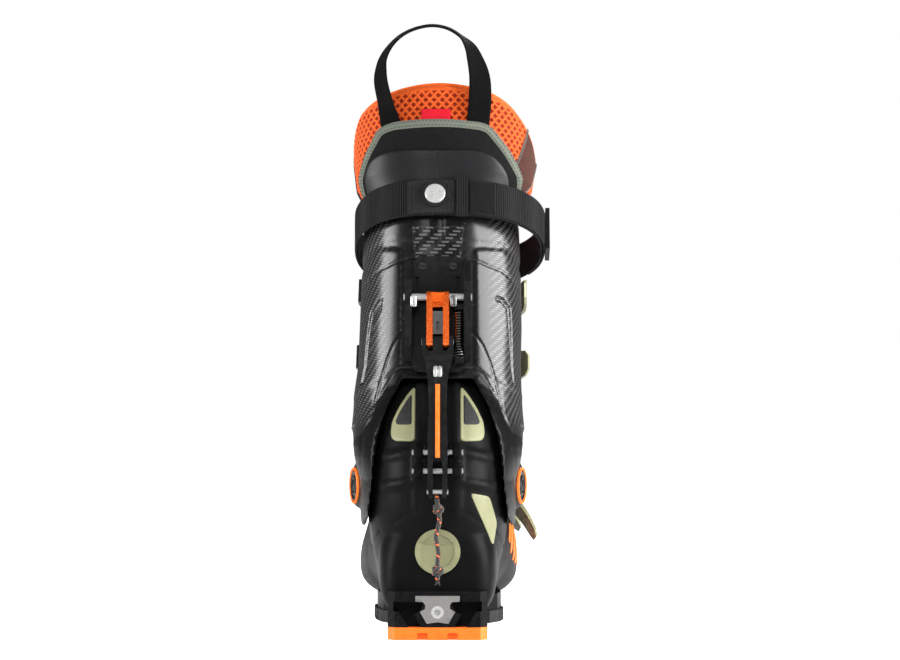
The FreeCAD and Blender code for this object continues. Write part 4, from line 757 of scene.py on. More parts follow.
def chamfered_block(name, centre, size_of, chamfer):
    """A small cast block: eight-sided in plan, stepped towards its rear face."""
    x0, y0, z0 = centre
    half_x, half_y, half_z = (value / 2 for value in size_of)
    rings = []
    for depth, inset in ((half_y, 0), (-half_y + chamfer, 0), (-half_y, chamfer), (-half_y, half_x * 0.45),
                         (-half_y + 0.5, half_x * 0.55), (-half_y + 0.5, half_x * 0.98)):
        a, b, c = half_x - inset, half_z - inset, min(chamfer, (half_x - inset) * 0.5)
        outline = [(-a + c, -b), (a - c, -b), (a, -b + c), (a, b - c), (a - c, b), (-a + c, b), (-a, b - c), (-a, -b + c)]
        rings.append([(x0 + x, y0 + depth, z0 + z) for x, z in outline])
    return sheet(name, np.array(rings, float), closed=True)


def lock_details():
    """The arm's thumb roller, and the blocks that hold the frame's pin."""
    roller = turned_across("arm_roller", (0, -124.2, 186.8), BUTTON_PROFILE)
    piece(roller, "walk_arm", STEEL_PAINTED_SHINE)
    for name, x, material, slot in (("inner", -17.2, STEEL_PAINTED_SHINE, "steel"), ("outer", 11.2, GREY_METAL, "steel")):
        block = chamfered_block(f"pin_block_{name}", (x, -108.6, 237.6), (4.6, 4.0, 8.0), 0.7)
        piece(block, "cuff", material)


def tongue_skin():
    obj = remeshed("liner_tongue_pad", "liner_tongue", 1.8, 6)
    points, outward = positions(obj), normals(obj)
    leg = to_leg(points)
    quilt = np.minimum(np.abs(np.mod(leg[:, 2], 24) - 12), np.abs(np.abs(leg[:, 0]) - 15))
    puff = 0.9 * smoothstep(quilt / 4) - 0.9
    set_positions(obj, points + outward * puff[:, None])
    return piece(obj, "cuff", LINING, ["liner_tongue"])


LINER_CUT = 158


def leg_liner_skin():
    """The liner below its collar: the CAD solid up to where the collar's lining takes over."""
    obj = remeshed("liner_leg_skin", "liner_cuff", 2.4, 6)
    mesh = bmesh.new()
    mesh.from_mesh(obj.data)
    cut = bmesh.ops.bisect_plane(mesh, geom=mesh.verts[:] + mesh.edges[:] + mesh.faces[:], clear_outer=True,
                                 plane_co=Vector(from_leg(np.array([[0, 0, LINER_CUT]]))[0]) * MM,
                                 plane_no=Vector(from_leg(np.array([[0, 0, 1.0]]))[0] - from_leg(np.zeros((1, 3)))[0]))
    rim = [item for item in cut["geom_cut"] if isinstance(item, bmesh.types.BMEdge)]
    bmesh.ops.triangle_fill(mesh, edges=rim, use_beauty=True)
    bmesh.ops.recalc_face_normals(mesh, faces=mesh.faces[:])
    mesh.to_mesh(obj.data)
    mesh.free()
    shade_smooth(obj.data)
    return piece(obj, "cuff", LINING)


# Height, half width and half depth of the sleeve that joins the liner's two halves.
SLEEVE = np.array([(48, 32.6, 37), (58, 32.8, 36.5), (66, 33.4, 34.8), (74, 35.2, 37.5), (84, 37.4, 42), (94, 39, 44.4),
                   (106, 39.2, 44.9)])


def flex_sleeve():
    """Soft sleeve behind and beside the ankle, a thickened sheet of lining."""
    angle = np.linspace(-1.08 * np.pi, 0.08 * np.pi, 160)[None, :]
    height = np.linspace(SLEEVE[0, 0], SLEEVE[-1, 0], 70)[:, None]
    fold = 0.5 - 0.5 * np.cos(height)
    half_x, half_y = (np.interp(height, SLEEVE[:, 0], SLEEVE[:, k]) - fold for k in (1, 2))
    x, y = superellipse(half_x, half_y, 2.3, angle)
    obj = sheet("liner_flex_sleeve", from_leg(np.stack([x, y + LEG_CENTRE, height + 0 * x], -1)))
    modifier(obj, "SOLIDIFY", thickness=1.8 * MM, offset=-1)
    apply_all(obj)
    dress(obj, LINING)
    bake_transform(obj)


def foot_liner_skin():
    obj = remeshed("liner_foot_skin", "liner_foot", 2.4, 6)
    return piece(obj, "boot_shell", LINING, ["liner_foot"])


# ---------------------------------------------------------------------------------------------------------------
# Liner collar: spacer mesh, rolled rim, lining, felt back and its binding
# ---------------------------------------------------------------------------------------------------------------

# Height, half width on the inner and on the outer side, half depth.
COLLAR_STATIONS = np.array([(180, 47.3, 47.3, 58.9), (196, 49.5, 50.5, 59.6), (208, 55.5, 62, 60.2), (218, 60.5, 70, 60.8),
                            (236, 62.6, 73, 61.7), (250, 63, 73.2, 62.2), (322, 62.5, 72, 62.4)])
# Distance round the collar from the back, positive to the outer side, and height of the rim.
COLLAR_RIM_LINE = [(-184, 282), (-164, 277), (-142, 264), (-122, 250), (-106, 243.5), (-95, 251), (-84, 262.5), (-72, 270.2),
                   (-56, 274.6), (-24, 281.2), (0, 283.5), (22, 282), (43, 277.8), (60, 270.8), (73, 262.5), (85.5, 253.2),
                   (98, 243.5), (112, 239), (128, 244), (146, 257), (164, 270), (180, 278), (196, 282)]
COLLAR_POWER = 2.3
COLLAR_REFERENCE = 262
RIM = 5.0


def collar_halves(height, angle):
    """Half width, on the side that the angle points to, and half depth of the collar."""
    inner, outer, depth = (np.interp(height, COLLAR_STATIONS[:, 0], COLLAR_STATIONS[:, k]) for k in (1, 2, 3))
    return np.where(np.cos(angle) > 0, outer, inner), depth


def collar_rings():
    """Angle round the collar against distance round it, measured from the back, positive to the outer side."""
    angle = np.linspace(-1.5 * np.pi, 0.5 * np.pi, 2881)
    x, y = superellipse(*collar_halves(COLLAR_REFERENCE, angle), COLLAR_POWER, angle)
    reach = np.concatenate([[0], np.cumsum(np.hypot(np.diff(x), np.diff(y)))])
    return angle, reach - np.interp(-0.5 * np.pi, angle, reach), x


RING_ANGLE, RING_REACH, RING_X = collar_rings()


def collar_point(along, height, rise=0.0):
    """The collar's outer face at a distance round it and a height up the leg, in the boot's frame."""
    angle = np.interp(along, RING_REACH, RING_ANGLE)
    half_x, half_y = collar_halves(height, angle)
    x, y = superellipse(half_x, half_y, COLLAR_POWER, angle)
    nx = np.sign(x) * np.abs(x / half_x) ** (COLLAR_POWER - 1) / half_x
    ny = np.sign(y) * np.abs(y / half_y) ** (COLLAR_POWER - 1) / half_y
    length = np.hypot(nx, ny)
    return from_leg(np.stack([x + rise * nx / length, y + rise * ny / length + LEG_CENTRE, height + 0 * x], -1))


RIM_CURVE = smooth_line(COLLAR_RIM_LINE, 500)


def collar_top(along):
    return np.interp(along, RIM_CURVE[:, 0], RIM_CURVE[:, 1])


GAP_HALF = 26
# The black net set into the collar's outer side: corners as distance round it and height.
SIDE_NET = [(59, 218), (79.5, 262), (118, 262), (86, 205)]


def front_limit():
    """Distances round the collar at which its front gap starts, on the inner and on the outer side."""
    outer = RING_ANGLE > 0
    inner = RING_ANGLE < -np.pi
    return (float(np.interp(-GAP_HALF, RING_X[inner], RING_REACH[inner])),
            float(np.interp(-GAP_HALF, -RING_X[outer], RING_REACH[outer])))


LIMITS = front_limit()


def collar():
    """The outer face: rows up to the rim, then a quarter turn inwards; hexagonal pits pressed into it and painted
    darker as painted shade.
    """
    columns = np.linspace(*LIMITS, 760)
    rows = np.linspace(0, 1, 180)
    base = 200.0
    top = collar_top(columns) - RIM
    height = base + rows[:, None] * (top - base)[None, :]
    along = np.broadcast_to(columns, height.shape)
    pitch = 6.1
    row_gap = 3.35
    depth = np.zeros(height.shape)
    for shift in (0, 1):
        level = np.round((height / row_gap - shift) / 2) * 2 + shift
        offset = pitch / 2 * shift
        spot = np.round((along - offset) / pitch) * pitch + offset
        away = np.abs(along - spot) / 2.75 + np.abs(height - level * row_gap) / 2.3
        depth = np.maximum(depth, 1 - away)
    net = inside(along.ravel(), height.ravel(), SIDE_NET).reshape(height.shape)
    pit = smoothstep(depth * 2.1) * (1 - net)
    calm = smoothstep((top[None, :] - height + 1.5) / 3)
    billow = 0.5 * np.sin(along / 17.0) * np.sin(height / 13.0 + 1)
    outer = collar_point(along, height, -0.8 - 1.15 * pit * calm + billow * calm)
    turn = np.linspace(0, np.pi / 2, 9)[1:, None]
    rim_along = np.broadcast_to(columns, (8, len(columns)))
    rim = collar_point(rim_along, top[None, :] + RIM * np.sin(turn), -0.8 - RIM * (1 - np.cos(turn)))
    points = np.concatenate([outer, rim])
    # The tint carries the pits' painted shade.
    tint = np.concatenate([pit * calm, np.zeros(rim_along.shape)])
    uv = np.stack([np.concatenate([along, rim_along]), np.concatenate([height, top[None, :] + RIM * turn])], -1)
    obj = sheet("liner_collar", points, uv=uv, tint=tint)
    set_tint(obj.data, np.concatenate([net, np.zeros(rim_along.shape)]).ravel(), "net")
    piece(obj, "cuff", MESH_ORANGE, ["liner_cuff"])
    inner_columns = np.linspace(*LIMITS, 180)
    inner_top = collar_top(inner_columns) - RIM
    turn = np.linspace(np.pi / 2, np.pi, 8)[:, None]
    over = collar_point(np.broadcast_to(inner_columns, (8, 180)), inner_top + RIM * np.sin(turn),
                        -0.8 - RIM * (1 - np.cos(turn)))
    fall = np.linspace(0, 1, 40)[1:, None]
    down = inner_top + fall * (150 - inner_top)
    quilt = 0.8 * np.sin(inner_columns / 9.0)[None, :] ** 2 * smoothstep(fall * 5)
    wall = collar_point(np.broadcast_to(inner_columns, down.shape), down, -0.8 - 2 * RIM + quilt)
    lining = sheet("collar_lining", np.concatenate([over, wall])[:, ::-1])
    piece(lining, "cuff", LINING)
    piping_along = np.linspace(*LIMITS, 420)
    piping = tube_mesh("collar_piping", collar_point(piping_along, collar_top(piping_along) - 0.4, -0.6 - RIM), 1.9)
    piece(piping, "cuff", PIPING)
    lip_along = np.linspace(-27, 25, 60)
    lip = collar_point(lip_along, collar_top(lip_along) + 0.6 * np.cos(lip_along / 17), -9.0)
    piece(tube_mesh("lining_lip", lip, 1.9), "cuff", LINING)
    for index, (first, last) in enumerate((SIDE_NET[:2], SIDE_NET[3:1:-1])):
        for shift in (-0.8, 0.8):
            seam = np.linspace(first, last, 60) + (shift, 0)
            seam = seam[seam[:, 1] < collar_top(seam[:, 0]) - 2]
            line = collar_point(seam[:, 0], seam[:, 1], -0.55)
            piece(tube_mesh(f"net_seam_{index}_{'a' if shift < 0 else 'b'}", line, 0.36, 6), "cuff", GREY_THREAD)


def front_edges():
    """Padded front edges of the liner, down inside the cuff on both sides of the tongue."""
    for name, limit in zip(("inner", "outer"), LIMITS):
        height = np.linspace(120, float(collar_top(limit)) - 2, 90)
        line = collar_point(np.full(90, limit * 0.995), height, -5.5)
        obj = tube_mesh(f"liner_edge_{name}", line, 5.2, 14)
        piece(obj, "cuff", LINING)


# The binding's outer edge: distance round the collar and height.
BINDING = [(-73, 203), (-69.5, 217), (-62.5, 228.5), (-51.5, 241.8), (-43.5, 251.5), (-34, 254.6), (-21.5, 255.4), (0, 255.9),
           (19.5, 255.1), (36.5, 252.5), (46, 243.8), (60.5, 227.5), (69, 217), (75, 206)]
BINDING_WIDTH = 6.4


def binding_line(count):
    return smooth_line(BINDING, count)


def felt_back():
    edge = binding_line(121)
    columns = np.linspace(edge[0, 0] + 3, edge[-1, 0] - 3, 140)
    top = np.interp(columns, edge[:, 0], edge[:, 1]) - 3.2
    rows = np.linspace(0, 1, 90)[:, None]
    height = 198 + rows * (top - 198)[None, :]
    along = np.broadcast_to(columns, height.shape)
    rise = 3.4 + 0.25 * np.sin(along / 11.0) * np.sin(height / 9.0)
    obj = sheet("felt_back", collar_point(along, height, rise), uv=np.stack([along, height], -1))
    modifier(obj, "SOLIDIFY", thickness=1.6 * MM, offset=-1)
    apply_all(obj)
    piece(obj, "cuff", FELT)


def strip(name, line, width, profile, rises, place):
    """A tape along a line on an unrolled surface: its cross-section is given as shares of the width and rises."""
    ahead = np.gradient(line, axis=0)
    ahead /= np.linalg.norm(ahead, axis=1)[:, None]
    side = np.stack([ahead[:, 1], -ahead[:, 0]], -1)
    reach = np.concatenate([[0], np.cumsum(np.linalg.norm(np.diff(line, axis=0), axis=1))])
    points, uv = [], []
    for share, rise in zip(profile, rises):
        spot = line + side * (share * width)
        points.append(place(spot[:, 0], spot[:, 1], rise))
        uv.append(np.stack([np.full(len(line), share * width), reach], -1))
    return sheet(name, np.array(points), uv=np.array(uv))


def stitches(name, line, place, rise, length=2.4, gap=1.3, radius=0.32, material=None, body="cuff"):
    """A row of thread stitches along a line on an unrolled surface."""
    reach = np.concatenate([[0], np.cumsum(np.linalg.norm(np.diff(line, axis=0), axis=1))])
    made = bmesh.new()
    start = 0.0
    while start + length < reach[-1]:
        steps = start + length * np.linspace(0, 1, 5)
        spot = np.stack([np.interp(steps, reach, line[:, k]) for k in (0, 1)], -1)
        arc = rise + 0.5 * radius * np.sin(np.linspace(0, np.pi, 5)) - 0.25 * radius
        centres = np.array([place(s[0], s[1], r) for s, r in zip(spot, arc)])
        centres = centres.reshape(5, 3)
        ahead = centres[-1] - centres[0]
        ahead /= np.linalg.norm(ahead)
        across = np.cross(ahead, [0.31, 0.2, 0.93])
        across /= np.linalg.norm(across)
        up = np.cross(ahead, across)
        rings = []
        for centre, size in zip(centres, (0.25, 1, 1, 1, 0.25)):
            rings.append([made.verts.new(((centre + radius * size * (math.cos(a) * across + math.sin(a) * up)) * MM))
                          for a in np.arange(6) * math.pi / 3])
        for first, second in zip(rings, rings[1:]):
            for k in range(6):
                made.faces.new((first[k], first[(k + 1) % 6], second[(k + 1) % 6], second[k]))
        made.faces.new(rings[0][::-1])
        made.faces.new(rings[-1])
        start += length + gap
    mesh = bpy.data.meshes.new(name)
    made.to_mesh(mesh)
    made.free()
    shade_smooth(mesh)
    return piece(link(name, mesh), body, material or GREY_THREAD)


# The spoiler's edge: distance round the collar and height.
SPOILER_EDGE = [(-57.5, 186), (-58.5, 203), (-57.8, 214), (-55, 222.5), (-50.5, 227.8), (-43.5, 231), (-32, 232.6),
                (-15, 232.4), (0, 232), (15, 232.2), (30, 231.9), (38, 229.8), (44.5, 225.2), (51, 217.5), (55.5, 209),
                (57, 200), (57.5, 186)]
SPOILER_RISE = 5.3
SPOILER_WALL = 2.6


def spoiler():
    """The cuff's thin rear spoiler: a moulded sheet with a fine centre line, its free edge rounded over."""
    edge = smooth_line(SPOILER_EDGE, 400)
    middle = np.array([0.0, 196.0])
    shares = np.concatenate([np.linspace(0.02, 0.97, 44), [0.985, 0.995, 1.0, 1.0, 0.995, 0.97]])
    drop = np.concatenate([np.zeros(44), [0.15, 0.45, 0.9, SPOILER_WALL - 0.9, SPOILER_WALL - 0.4, SPOILER_WALL]])
    spots = middle + shares[:, None, None] * (edge - middle)[None]
    along, height = spots[..., 0], np.maximum(spots[..., 1], 186)
    crease = 0.3 * (1 - smoothstep(np.abs(along) / 0.8)) * smoothstep((height - 200) / 4)
    dish = 0.5 * smoothstep((shares[:, None] - 0.55) / 0.4) * (drop[:, None] < 1)
    obj = sheet("spoiler_skin", collar_point(along, height, SPOILER_RISE + dish - crease - drop[:, None]))
    piece(obj, "cuff", SPOILER_GREY, ["cuff_spoiler"])


TAPE_PROFILE = [0.0, 0.0, 0.06, 0.2, 0.4, 0.5, 0.6, 0.8, 0.94, 1.0, 1.0]
TAPE_RISES = [-1.0, 2.6, 3.5, 4.0, 4.05, 3.8, 4.05, 4.0, 3.6, 3.1, 1.4]


def back_binding():
    line = binding_line(360)
    tape = strip("back_binding", line, BINDING_WIDTH, TAPE_PROFILE, TAPE_RISES, collar_point)
    piece(tape, "cuff", TAPE)
    ahead = np.gradient(line, axis=0)
    ahead /= np.linalg.norm(ahead, axis=1)[:, None]
    side = np.stack([ahead[:, 1], -ahead[:, 0]], -1)
    for name, share in (("outer", 1.7), ("inner", 4.7)):
        stitches(f"binding_stitch_{name}", line + side * share, collar_point, 4.1, 1.5, 1.1, 0.27, DARK_THREAD)


def red_tag():
    """A plain red tag that stands out of the binding's upper edge."""
    across = np.linspace(-12, 9, 26)
    drop = np.linspace(0, 1, 18)
    along = np.broadcast_to(across, (18, 26))
    height = 251 + 13 * drop[:, None] + 0 * along
    rise = 0.7 + 0.5 * np.sin(drop[:, None] * 3) + 0.2 * np.sin(along / 5)
    obj = sheet("red_tag", collar_point(along, height, rise), uv=np.stack([height, along], -1))
    modifier(obj, "SOLIDIFY", thickness=0.6 * MM)
    apply_all(obj)
    piece(obj, "cuff", RED_TAG)


LOOP_LINE = [(-32.6, 358.5, 15.5), (-34.2, 366, 14.5), (-38, 382, 11), (-41.4, 402.5, 9), (-40, 412.6, 6), (-34.5, 422.7, 3.6),
             (-26, 431, 2.5), (-14, 436.5, 2), (-3, 438, 2), (8, 435.5, 2), (16.5, 430, 2.5), (23, 422.7, 8),
             (27, 412.6, 12), (29.7, 402.5, 14.6), (30.3, 382.4, 16.5), (28.9, 366, 16.5), (28.6, 358.5, 16.5)]
LOOP_WIDTH = 17.0


def collar_back(x, z):
    """How far back the collar's surface lies at points seen from behind."""
    half_x = np.where(x < 0, COLLAR_STATIONS[5, 1], COLLAR_STATIONS[5, 2])
    half_y = COLLAR_STATIONS[5, 3] * (1 - np.minimum(np.abs(x) / half_x, 0.95) ** COLLAR_POWER) ** (1 / COLLAR_POWER)
    own_y = LEG_CENTRE - half_y
    own_z = (z - ANKLE[2] + own_y * math.sin(LEAN)) / math.cos(LEAN)
    return ANKLE[1] + own_y * math.cos(LEAN) + own_z * math.sin(LEAN)


def pull_loop():
    """A webbing loop that turns edge-on over its top."""
    line = smooth_line(np.array(LOOP_LINE, float), 150)
    x, z, seen = line.T
    turn = np.arccos(np.clip(seen / LOOP_WIDTH, 0.05, 0.999))
    count = len(line)
    rise = 0.9 + 1.4 * smoothstep((z - 368) / 12)
    up = (z - 118.5) / math.cos(LEAN)
    seated = 1 - smoothstep((z - 366) / 16)
    y = ANKLE[1] + (LEG_CENTRE - 62.2 - rise) * math.cos(LEAN) + up * math.sin(LEAN)
    y += 2.5 * smoothstep((z - 372) / 40)
    centres = np.stack([x, y, z], -1)
    ahead = np.gradient(centres, axis=0)
    ahead /= np.linalg.norm(ahead, axis=1)[:, None]
    flat = np.cross(ahead, [0, 1, 0])
    flat /= np.linalg.norm(flat, axis=1)[:, None]
    deep = np.cross(flat, ahead)
    deep *= np.sign(deep[:, 1])[:, None]
    wide = np.cos(turn)[:, None] * flat + np.sin(turn)[:, None] * deep
    through = np.cross(ahead, wide)
    reach = np.concatenate([[0], np.cumsum(np.linalg.norm(np.diff(centres, axis=0), axis=1))])
    section = [(s, 1) for s in np.linspace(-1, 1, 21)] + [(s, -1) for s in np.linspace(1, -1, 21)]
    points = np.zeros((count, len(section), 3))
    uv = np.zeros((count, len(section), 2))
    for k, (s, face) in enumerate(section):
        edge = 1 - smoothstep((abs(s) - 0.86) / 0.14) * 0.75
        cup = 0.9 * (s * s - 0.4) * np.sin(turn)
        depth = 0.8 * face * edge + cup
        points[:, k] = centres + wide * (s * LOOP_WIDTH / 2) + through * depth[:, None]
        lying = collar_back(points[:, k, 0], points[:, k, 2]) - 0.9 + depth * np.sign(through[:, 1])
        points[:, k, 1] += seated * (lying - points[:, k, 1])
        uv[:, k, 0] = s * LOOP_WIDTH / 2
        uv[:, k, 1] = reach
    obj = sheet("pull_loop_webbing", points, closed=True, uv=uv)
    piece(obj, "cuff", LOOP, ["pull_loop"])


# ---------------------------------------------------------------------------------------------------------------
# Power strap
# ---------------------------------------------------------------------------------------------------------------

STRAP_UP, STRAP_TURN = 184.5, math.radians(9)
STRAP_LEFT, STRAP_RIGHT, STRAP_DEPTH, STRAP_CENTRE = 59, 74.5, 71.3, -5.2
STRAP_POWER = 2.4
STRAP_HALF = 14.0


def strap_rings():
    angle = np.linspace(-1.5 * np.pi, 0.5 * np.pi, 2881)
    half_x = np.where(np.cos(angle) > 0, STRAP_RIGHT, STRAP_LEFT)
    x, y = superellipse(half_x, STRAP_DEPTH, STRAP_POWER, angle)
    reach = np.concatenate([[0], np.cumsum(np.hypot(np.diff(x), np.diff(y)))])
    return angle, reach - np.interp(-0.5 * np.pi, angle, reach), reach[-1]


STRAP_ANGLE, STRAP_REACH, STRAP_ROUND = strap_rings()


def strap_point(along, up, rise=0.0):
    """The strap's inner face at a distance round it and a height across it, in the boot's frame."""
    along = np.mod(along - STRAP_REACH[0], STRAP_ROUND) + STRAP_REACH[0]
    angle = np.interp(along, STRAP_REACH, STRAP_ANGLE)
    half_x = np.where(np.cos(angle) > 0, STRAP_RIGHT, STRAP_LEFT)
    x, y = superellipse(half_x, STRAP_DEPTH, STRAP_POWER, angle)
    nx = np.sign(x) * np.abs(x / half_x) ** (STRAP_POWER - 1) / half_x
    ny = np.sign(y) * np.abs(y / STRAP_DEPTH) ** (STRAP_POWER - 1) / STRAP_DEPTH
    length = np.hypot(nx, ny)
    own = np.stack([x + rise * nx / length, y + rise * ny / length + STRAP_CENTRE, up + 0 * x], -1)
    return from_leg(turned(own, STRAP_TURN) + np.array([0, 0, STRAP_UP]))


def band(name, low, high, half, bottom, top, ribs=0.0, lean=0.0, columns=300, closed=False, sway=0.0):
    """A length of strap between two distances round it, with rounded edges and, if asked, woven ribs."""
    count = 25
    across = np.linspace(-1, 1, count)
    along = np.linspace(low, high, columns, endpoint=not closed)
    shares = np.concatenate([across, across[::-1]])
    outer = np.concatenate([np.ones(count), np.zeros(count)])
    soft = 1 - 0.8 * smoothstep((np.abs(shares) - 0.93) / 0.07)
    middle = (top + bottom) / 2
    up = shares[None, :] * half + 0 * along[:, None]
    round_ = along[:, None] + 0 * up
    rise = middle + (outer[None, :] - 0.5) * (top - bottom) * soft[None, :]
    if ribs:
        slant = lean * smoothstep((-round_ - 5) / 20)
        rise = rise + outer[None, :] * ribs * np.sin(2 * np.pi * (round_ + slant * up) / 1.6)
    rise = rise + sway * np.sin(round_ / 13.0) * (0.6 + 0.4 * np.sin(up / 6.0))
    points = strap_point(round_, up, rise)
    if closed:
        points = np.concatenate([points, points[:1]])
        round_, up = np.concatenate([round_, round_[:1]]), np.concatenate([up, up[:1]])
    obj = sheet(name, points, closed=True, uv=np.stack([round_ * 1.0, up], -1))
    mesh = bmesh.new()
    mesh.from_mesh(obj.data)
    bmesh.ops.remove_doubles(mesh, verts=mesh.verts, dist=1e-6)
    bmesh.ops.holes_fill(mesh, edges=[e for e in mesh.edges if e.is_boundary])
    mesh.to_mesh(obj.data)
    mesh.free()
    shade_smooth(obj.data)
    return obj


def power_strap():
    full = band("strap_webbing", 0, STRAP_ROUND, STRAP_HALF, 0.0, 2.0, ribs=0.16, lean=1.0, columns=1150, closed=True,
                sway=0.18)
    piece(full, "cuff", STRAP, ["power_strap"])
    patch = band("strap_patch_cloth", -21, 12, STRAP_HALF - 1.1, 2.0, 3.2, columns=90)
    piece(patch, "cuff", SATIN_CLOTH, ["strap_patch"])
    keeper = band("strap_keeper_loop", 12.6, 21.8, STRAP_HALF + 1.4, 2.0, 4.0, ribs=0.1, columns=60)
    piece(keeper, "cuff", STRAP, ["strap_keeper"])
    tail_end = float(np.interp(0.0, STRAP_ANGLE, STRAP_REACH)) + 44
    tail = band("strap_tail_webbing", 22.2, tail_end, STRAP_HALF - 0.6, 2.1, 3.9, ribs=0.12, columns=420, sway=0.3)
    piece(tail, "cuff", STRAP, ["strap_tail"])
    hook = band("strap_hook_tape", 22.6, 40, STRAP_HALF - 2.2, 3.9, 4.6, columns=60)
    piece(hook, "cuff", FELT)
    place = strap_point
    frame_line = np.array([(-19.4, -11), (-19.4, 11), (10.4, 11), (10.4, -11), (-19.4, -11)], float)
    stitches("patch_stitch", frame_line, place, 3.35, 2.0, 1.1, 0.26, DARK_THREAD)
    for name, low in (("left", -16.6), ("right", 7.8)):
        box_line = np.array([(low, -11), (low, 11)], float)
        stitches(f"patch_stitch_{name}", box_line, place, 3.35, 2.0, 1.1, 0.26, DARK_THREAD)


# ---------------------------------------------------------------------------------------------------------------
# Pull cord
# ---------------------------------------------------------------------------------------------------------------


def pull_cord():
    low, high = (np.array(corner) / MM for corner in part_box("pull_cord"))
    x, y, top, bottom = 0.0, (low[1] + high[1]) / 2, high[2] - 3, low[2] + 4
    drop = top - bottom
    line = smooth_line(np.array([(x - 0.5, y, top), (x, y - 0.6, top - 0.12 * drop), (x + 1.4, y - 0.8, top - 0.3 * drop),
                                 (x - 0.9, y - 0.4, top - 0.52 * drop), (x + 0.6, y, top - 0.72 * drop),
                                 (x, y, top - 0.86 * drop), (x, y, bottom - 3)]), 120)

    def soft(name, path, radius, around, replaced=()):
        """One strand on the arm, with a mesh of its own."""
        strand = piece(tube_mesh(name, path, radius, around), "walk_arm", CORD, replaced)
        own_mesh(strand)

    soft("pull_cord_line", line, 1.65, 14, ["pull_cord"])
    for name, share, reach in (("upper", 0.16, 3.0), ("lower", 0.9, 3.4)):
        centre = np.array([np.interp(share * (len(line) - 1), np.arange(len(line)), line[:, k]) for k in range(3)])
        turn = np.linspace(0, 2 * np.pi, 90)
        knot = np.stack([(reach * 0.62 + 0.9 * np.cos(3 * turn)) * np.cos(2 * turn),
                         (reach * 0.62 + 0.9 * np.cos(3 * turn)) * np.sin(2 * turn),
                         1.9 * np.sin(3 * turn)], -1)
        soft(f"cord_knot_{name}", centre + knot, 1.5, 10)
    for index in range(9):
        angle = index * 2.4
        end = line[-1] + np.array([1.7 * math.cos(angle), 1.2 * math.sin(angle), -3.6 - 0.7 * math.sin(index * 1.7)])
        strand = smooth_line(np.array([line[-1] + [0.5 * math.cos(angle), 0.5 * math.sin(angle), 1.0],
                                       line[-1] + [1.0 * math.cos(angle), 0.8 * math.sin(angle), -1.5], end]), 9)
        soft(f"cord_fray_{index}", strand, 0.28, 6)


# ---------------------------------------------------------------------------------------------------------------
# Emblems that lie on the shell
# ---------------------------------------------------------------------------------------------------------------


WINDOW_FRAME = [(15.8, 73), (20.5, 68), (27, 58), (32, 47.5), (33, 38), (31.5, 34.5), (15.8, 34.5)]
WINDOW_NET = [(18, 67), (21, 63), (26.5, 54), (29.5, 47), (28.5, 45.5), (18, 45.5)]
FLAMES = [
    [(4, 62), (8, 70), (14, 84), (16, 82), (12, 66), (7, 58)],
    [(10, 50), (13, 62), (20, 78), (26, 82), (22, 66), (15, 52)],
    [(19, 44), (22, 56), (30, 72), (38, 74), (32, 60), (25, 47)],
    [(28, 42), (34, 54), (44, 66), (50, 64), (42, 52), (35, 43)],
    [(38, 40), (46, 50), (58, 58), (62, 54), (52, 46), (44, 40)],
]


def softened(outline, count=96, reach=3):
    """An outline sampled evenly, its corners rounded off."""
    outline = np.array(outline + outline[:1], float)
    chord = np.concatenate([[0], np.cumsum(np.linalg.norm(np.diff(outline, axis=0), axis=1))])
    even = np.linspace(0, chord[-1], count, endpoint=False)
    line = np.stack([np.interp(even, chord, outline[:, k]) for k in (0, 1)], -1)
    return sum(np.roll(line, k, axis=0) for k in range(-reach, reach + 1)) / (2 * reach + 1)


def emblem(name, target, outline, rise, material, body="boot_shell", ahead=(0, 1, 0), start=-300):
    """A thin plate that follows a surface, under an outline drawn in the view along a direction."""
    graph = bpy.context.evaluated_depsgraph_get()
    tree = BVHTree.FromObject(target, graph)
    outline = softened(outline)
    centre = outline.mean(axis=0)
    ahead = np.array(ahead, float)
    up = np.array([0.0, 0, 1])
    right = np.cross(ahead, up)
    rings, hits = [0.03, 0.3, 0.55, 0.75, 0.9, 0.97, 1.0, 1.0], []
    rises = [rise, rise, rise, rise, rise, rise * 0.9, rise * 0.4, -0.8]
    last = None
    for share, height in zip(rings, rises):
        row = []
        for spot in centre + (outline - centre) * share:
            origin = right * spot[0] + up * spot[1] + ahead * start
            point, normal, _, _ = tree.ray_cast(Vector(origin * MM), Vector(ahead))
            if point is None:
                row.append(last)
                continue
            last = np.array(point) / MM + np.array(normal) * height
            row.append(last)
        hits.append(row)
    obj = sheet(name, np.array(hits), closed=True)
    mesh = bmesh.new()
    mesh.from_mesh(obj.data)
    bmesh.ops.holes_fill(mesh, edges=[e for e in mesh.edges if e.is_boundary])
    bmesh.ops.recalc_face_normals(mesh, faces=mesh.faces)
    mesh.to_mesh(obj.data)
    mesh.free()
    shade_smooth(obj.data)
    return piece(obj, body, material)


cuff = cuff_skin()
shell = shell_skin()
pivots()
lock_details()
tongue_skin()
foot_liner_skin()
leg_liner_skin()
flex_sleeve()
collar()
front_edges()
felt_back()
spoiler()
back_binding()
red_tag()
pull_loop()
power_strap()
pull_cord()
emblem("side_triangle", shell, [(22.7, 102.5), (36.5, 99.6), (42, 80), (39.3, 63.6)], 0.5, KHAKI)
for side_name, side in (("outer", 1), ("inner", -1)):
    frame_line = [(side * x, z + ANKLE[2]) for x, z in WINDOW_FRAME]
    net_line = [(side * x, z + ANKLE[2]) for x, z in WINDOW_NET]
    plate = emblem(f"window_frame_{side_name}", shell, frame_line, 1.1, KHAKI)
    net = emblem(f"window_net_{side_name}", shell, net_line, 1.6, WINDOW)
    if side == 1:
        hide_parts("heel_window_frames")
        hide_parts("heel_window_meshes")
for index, flame in enumerate(FLAMES):
    emblem(f"forefoot_flash_{index}", shell, flame, 0.45, ORANGE_PAINT, ahead=(-1, 0, 0))

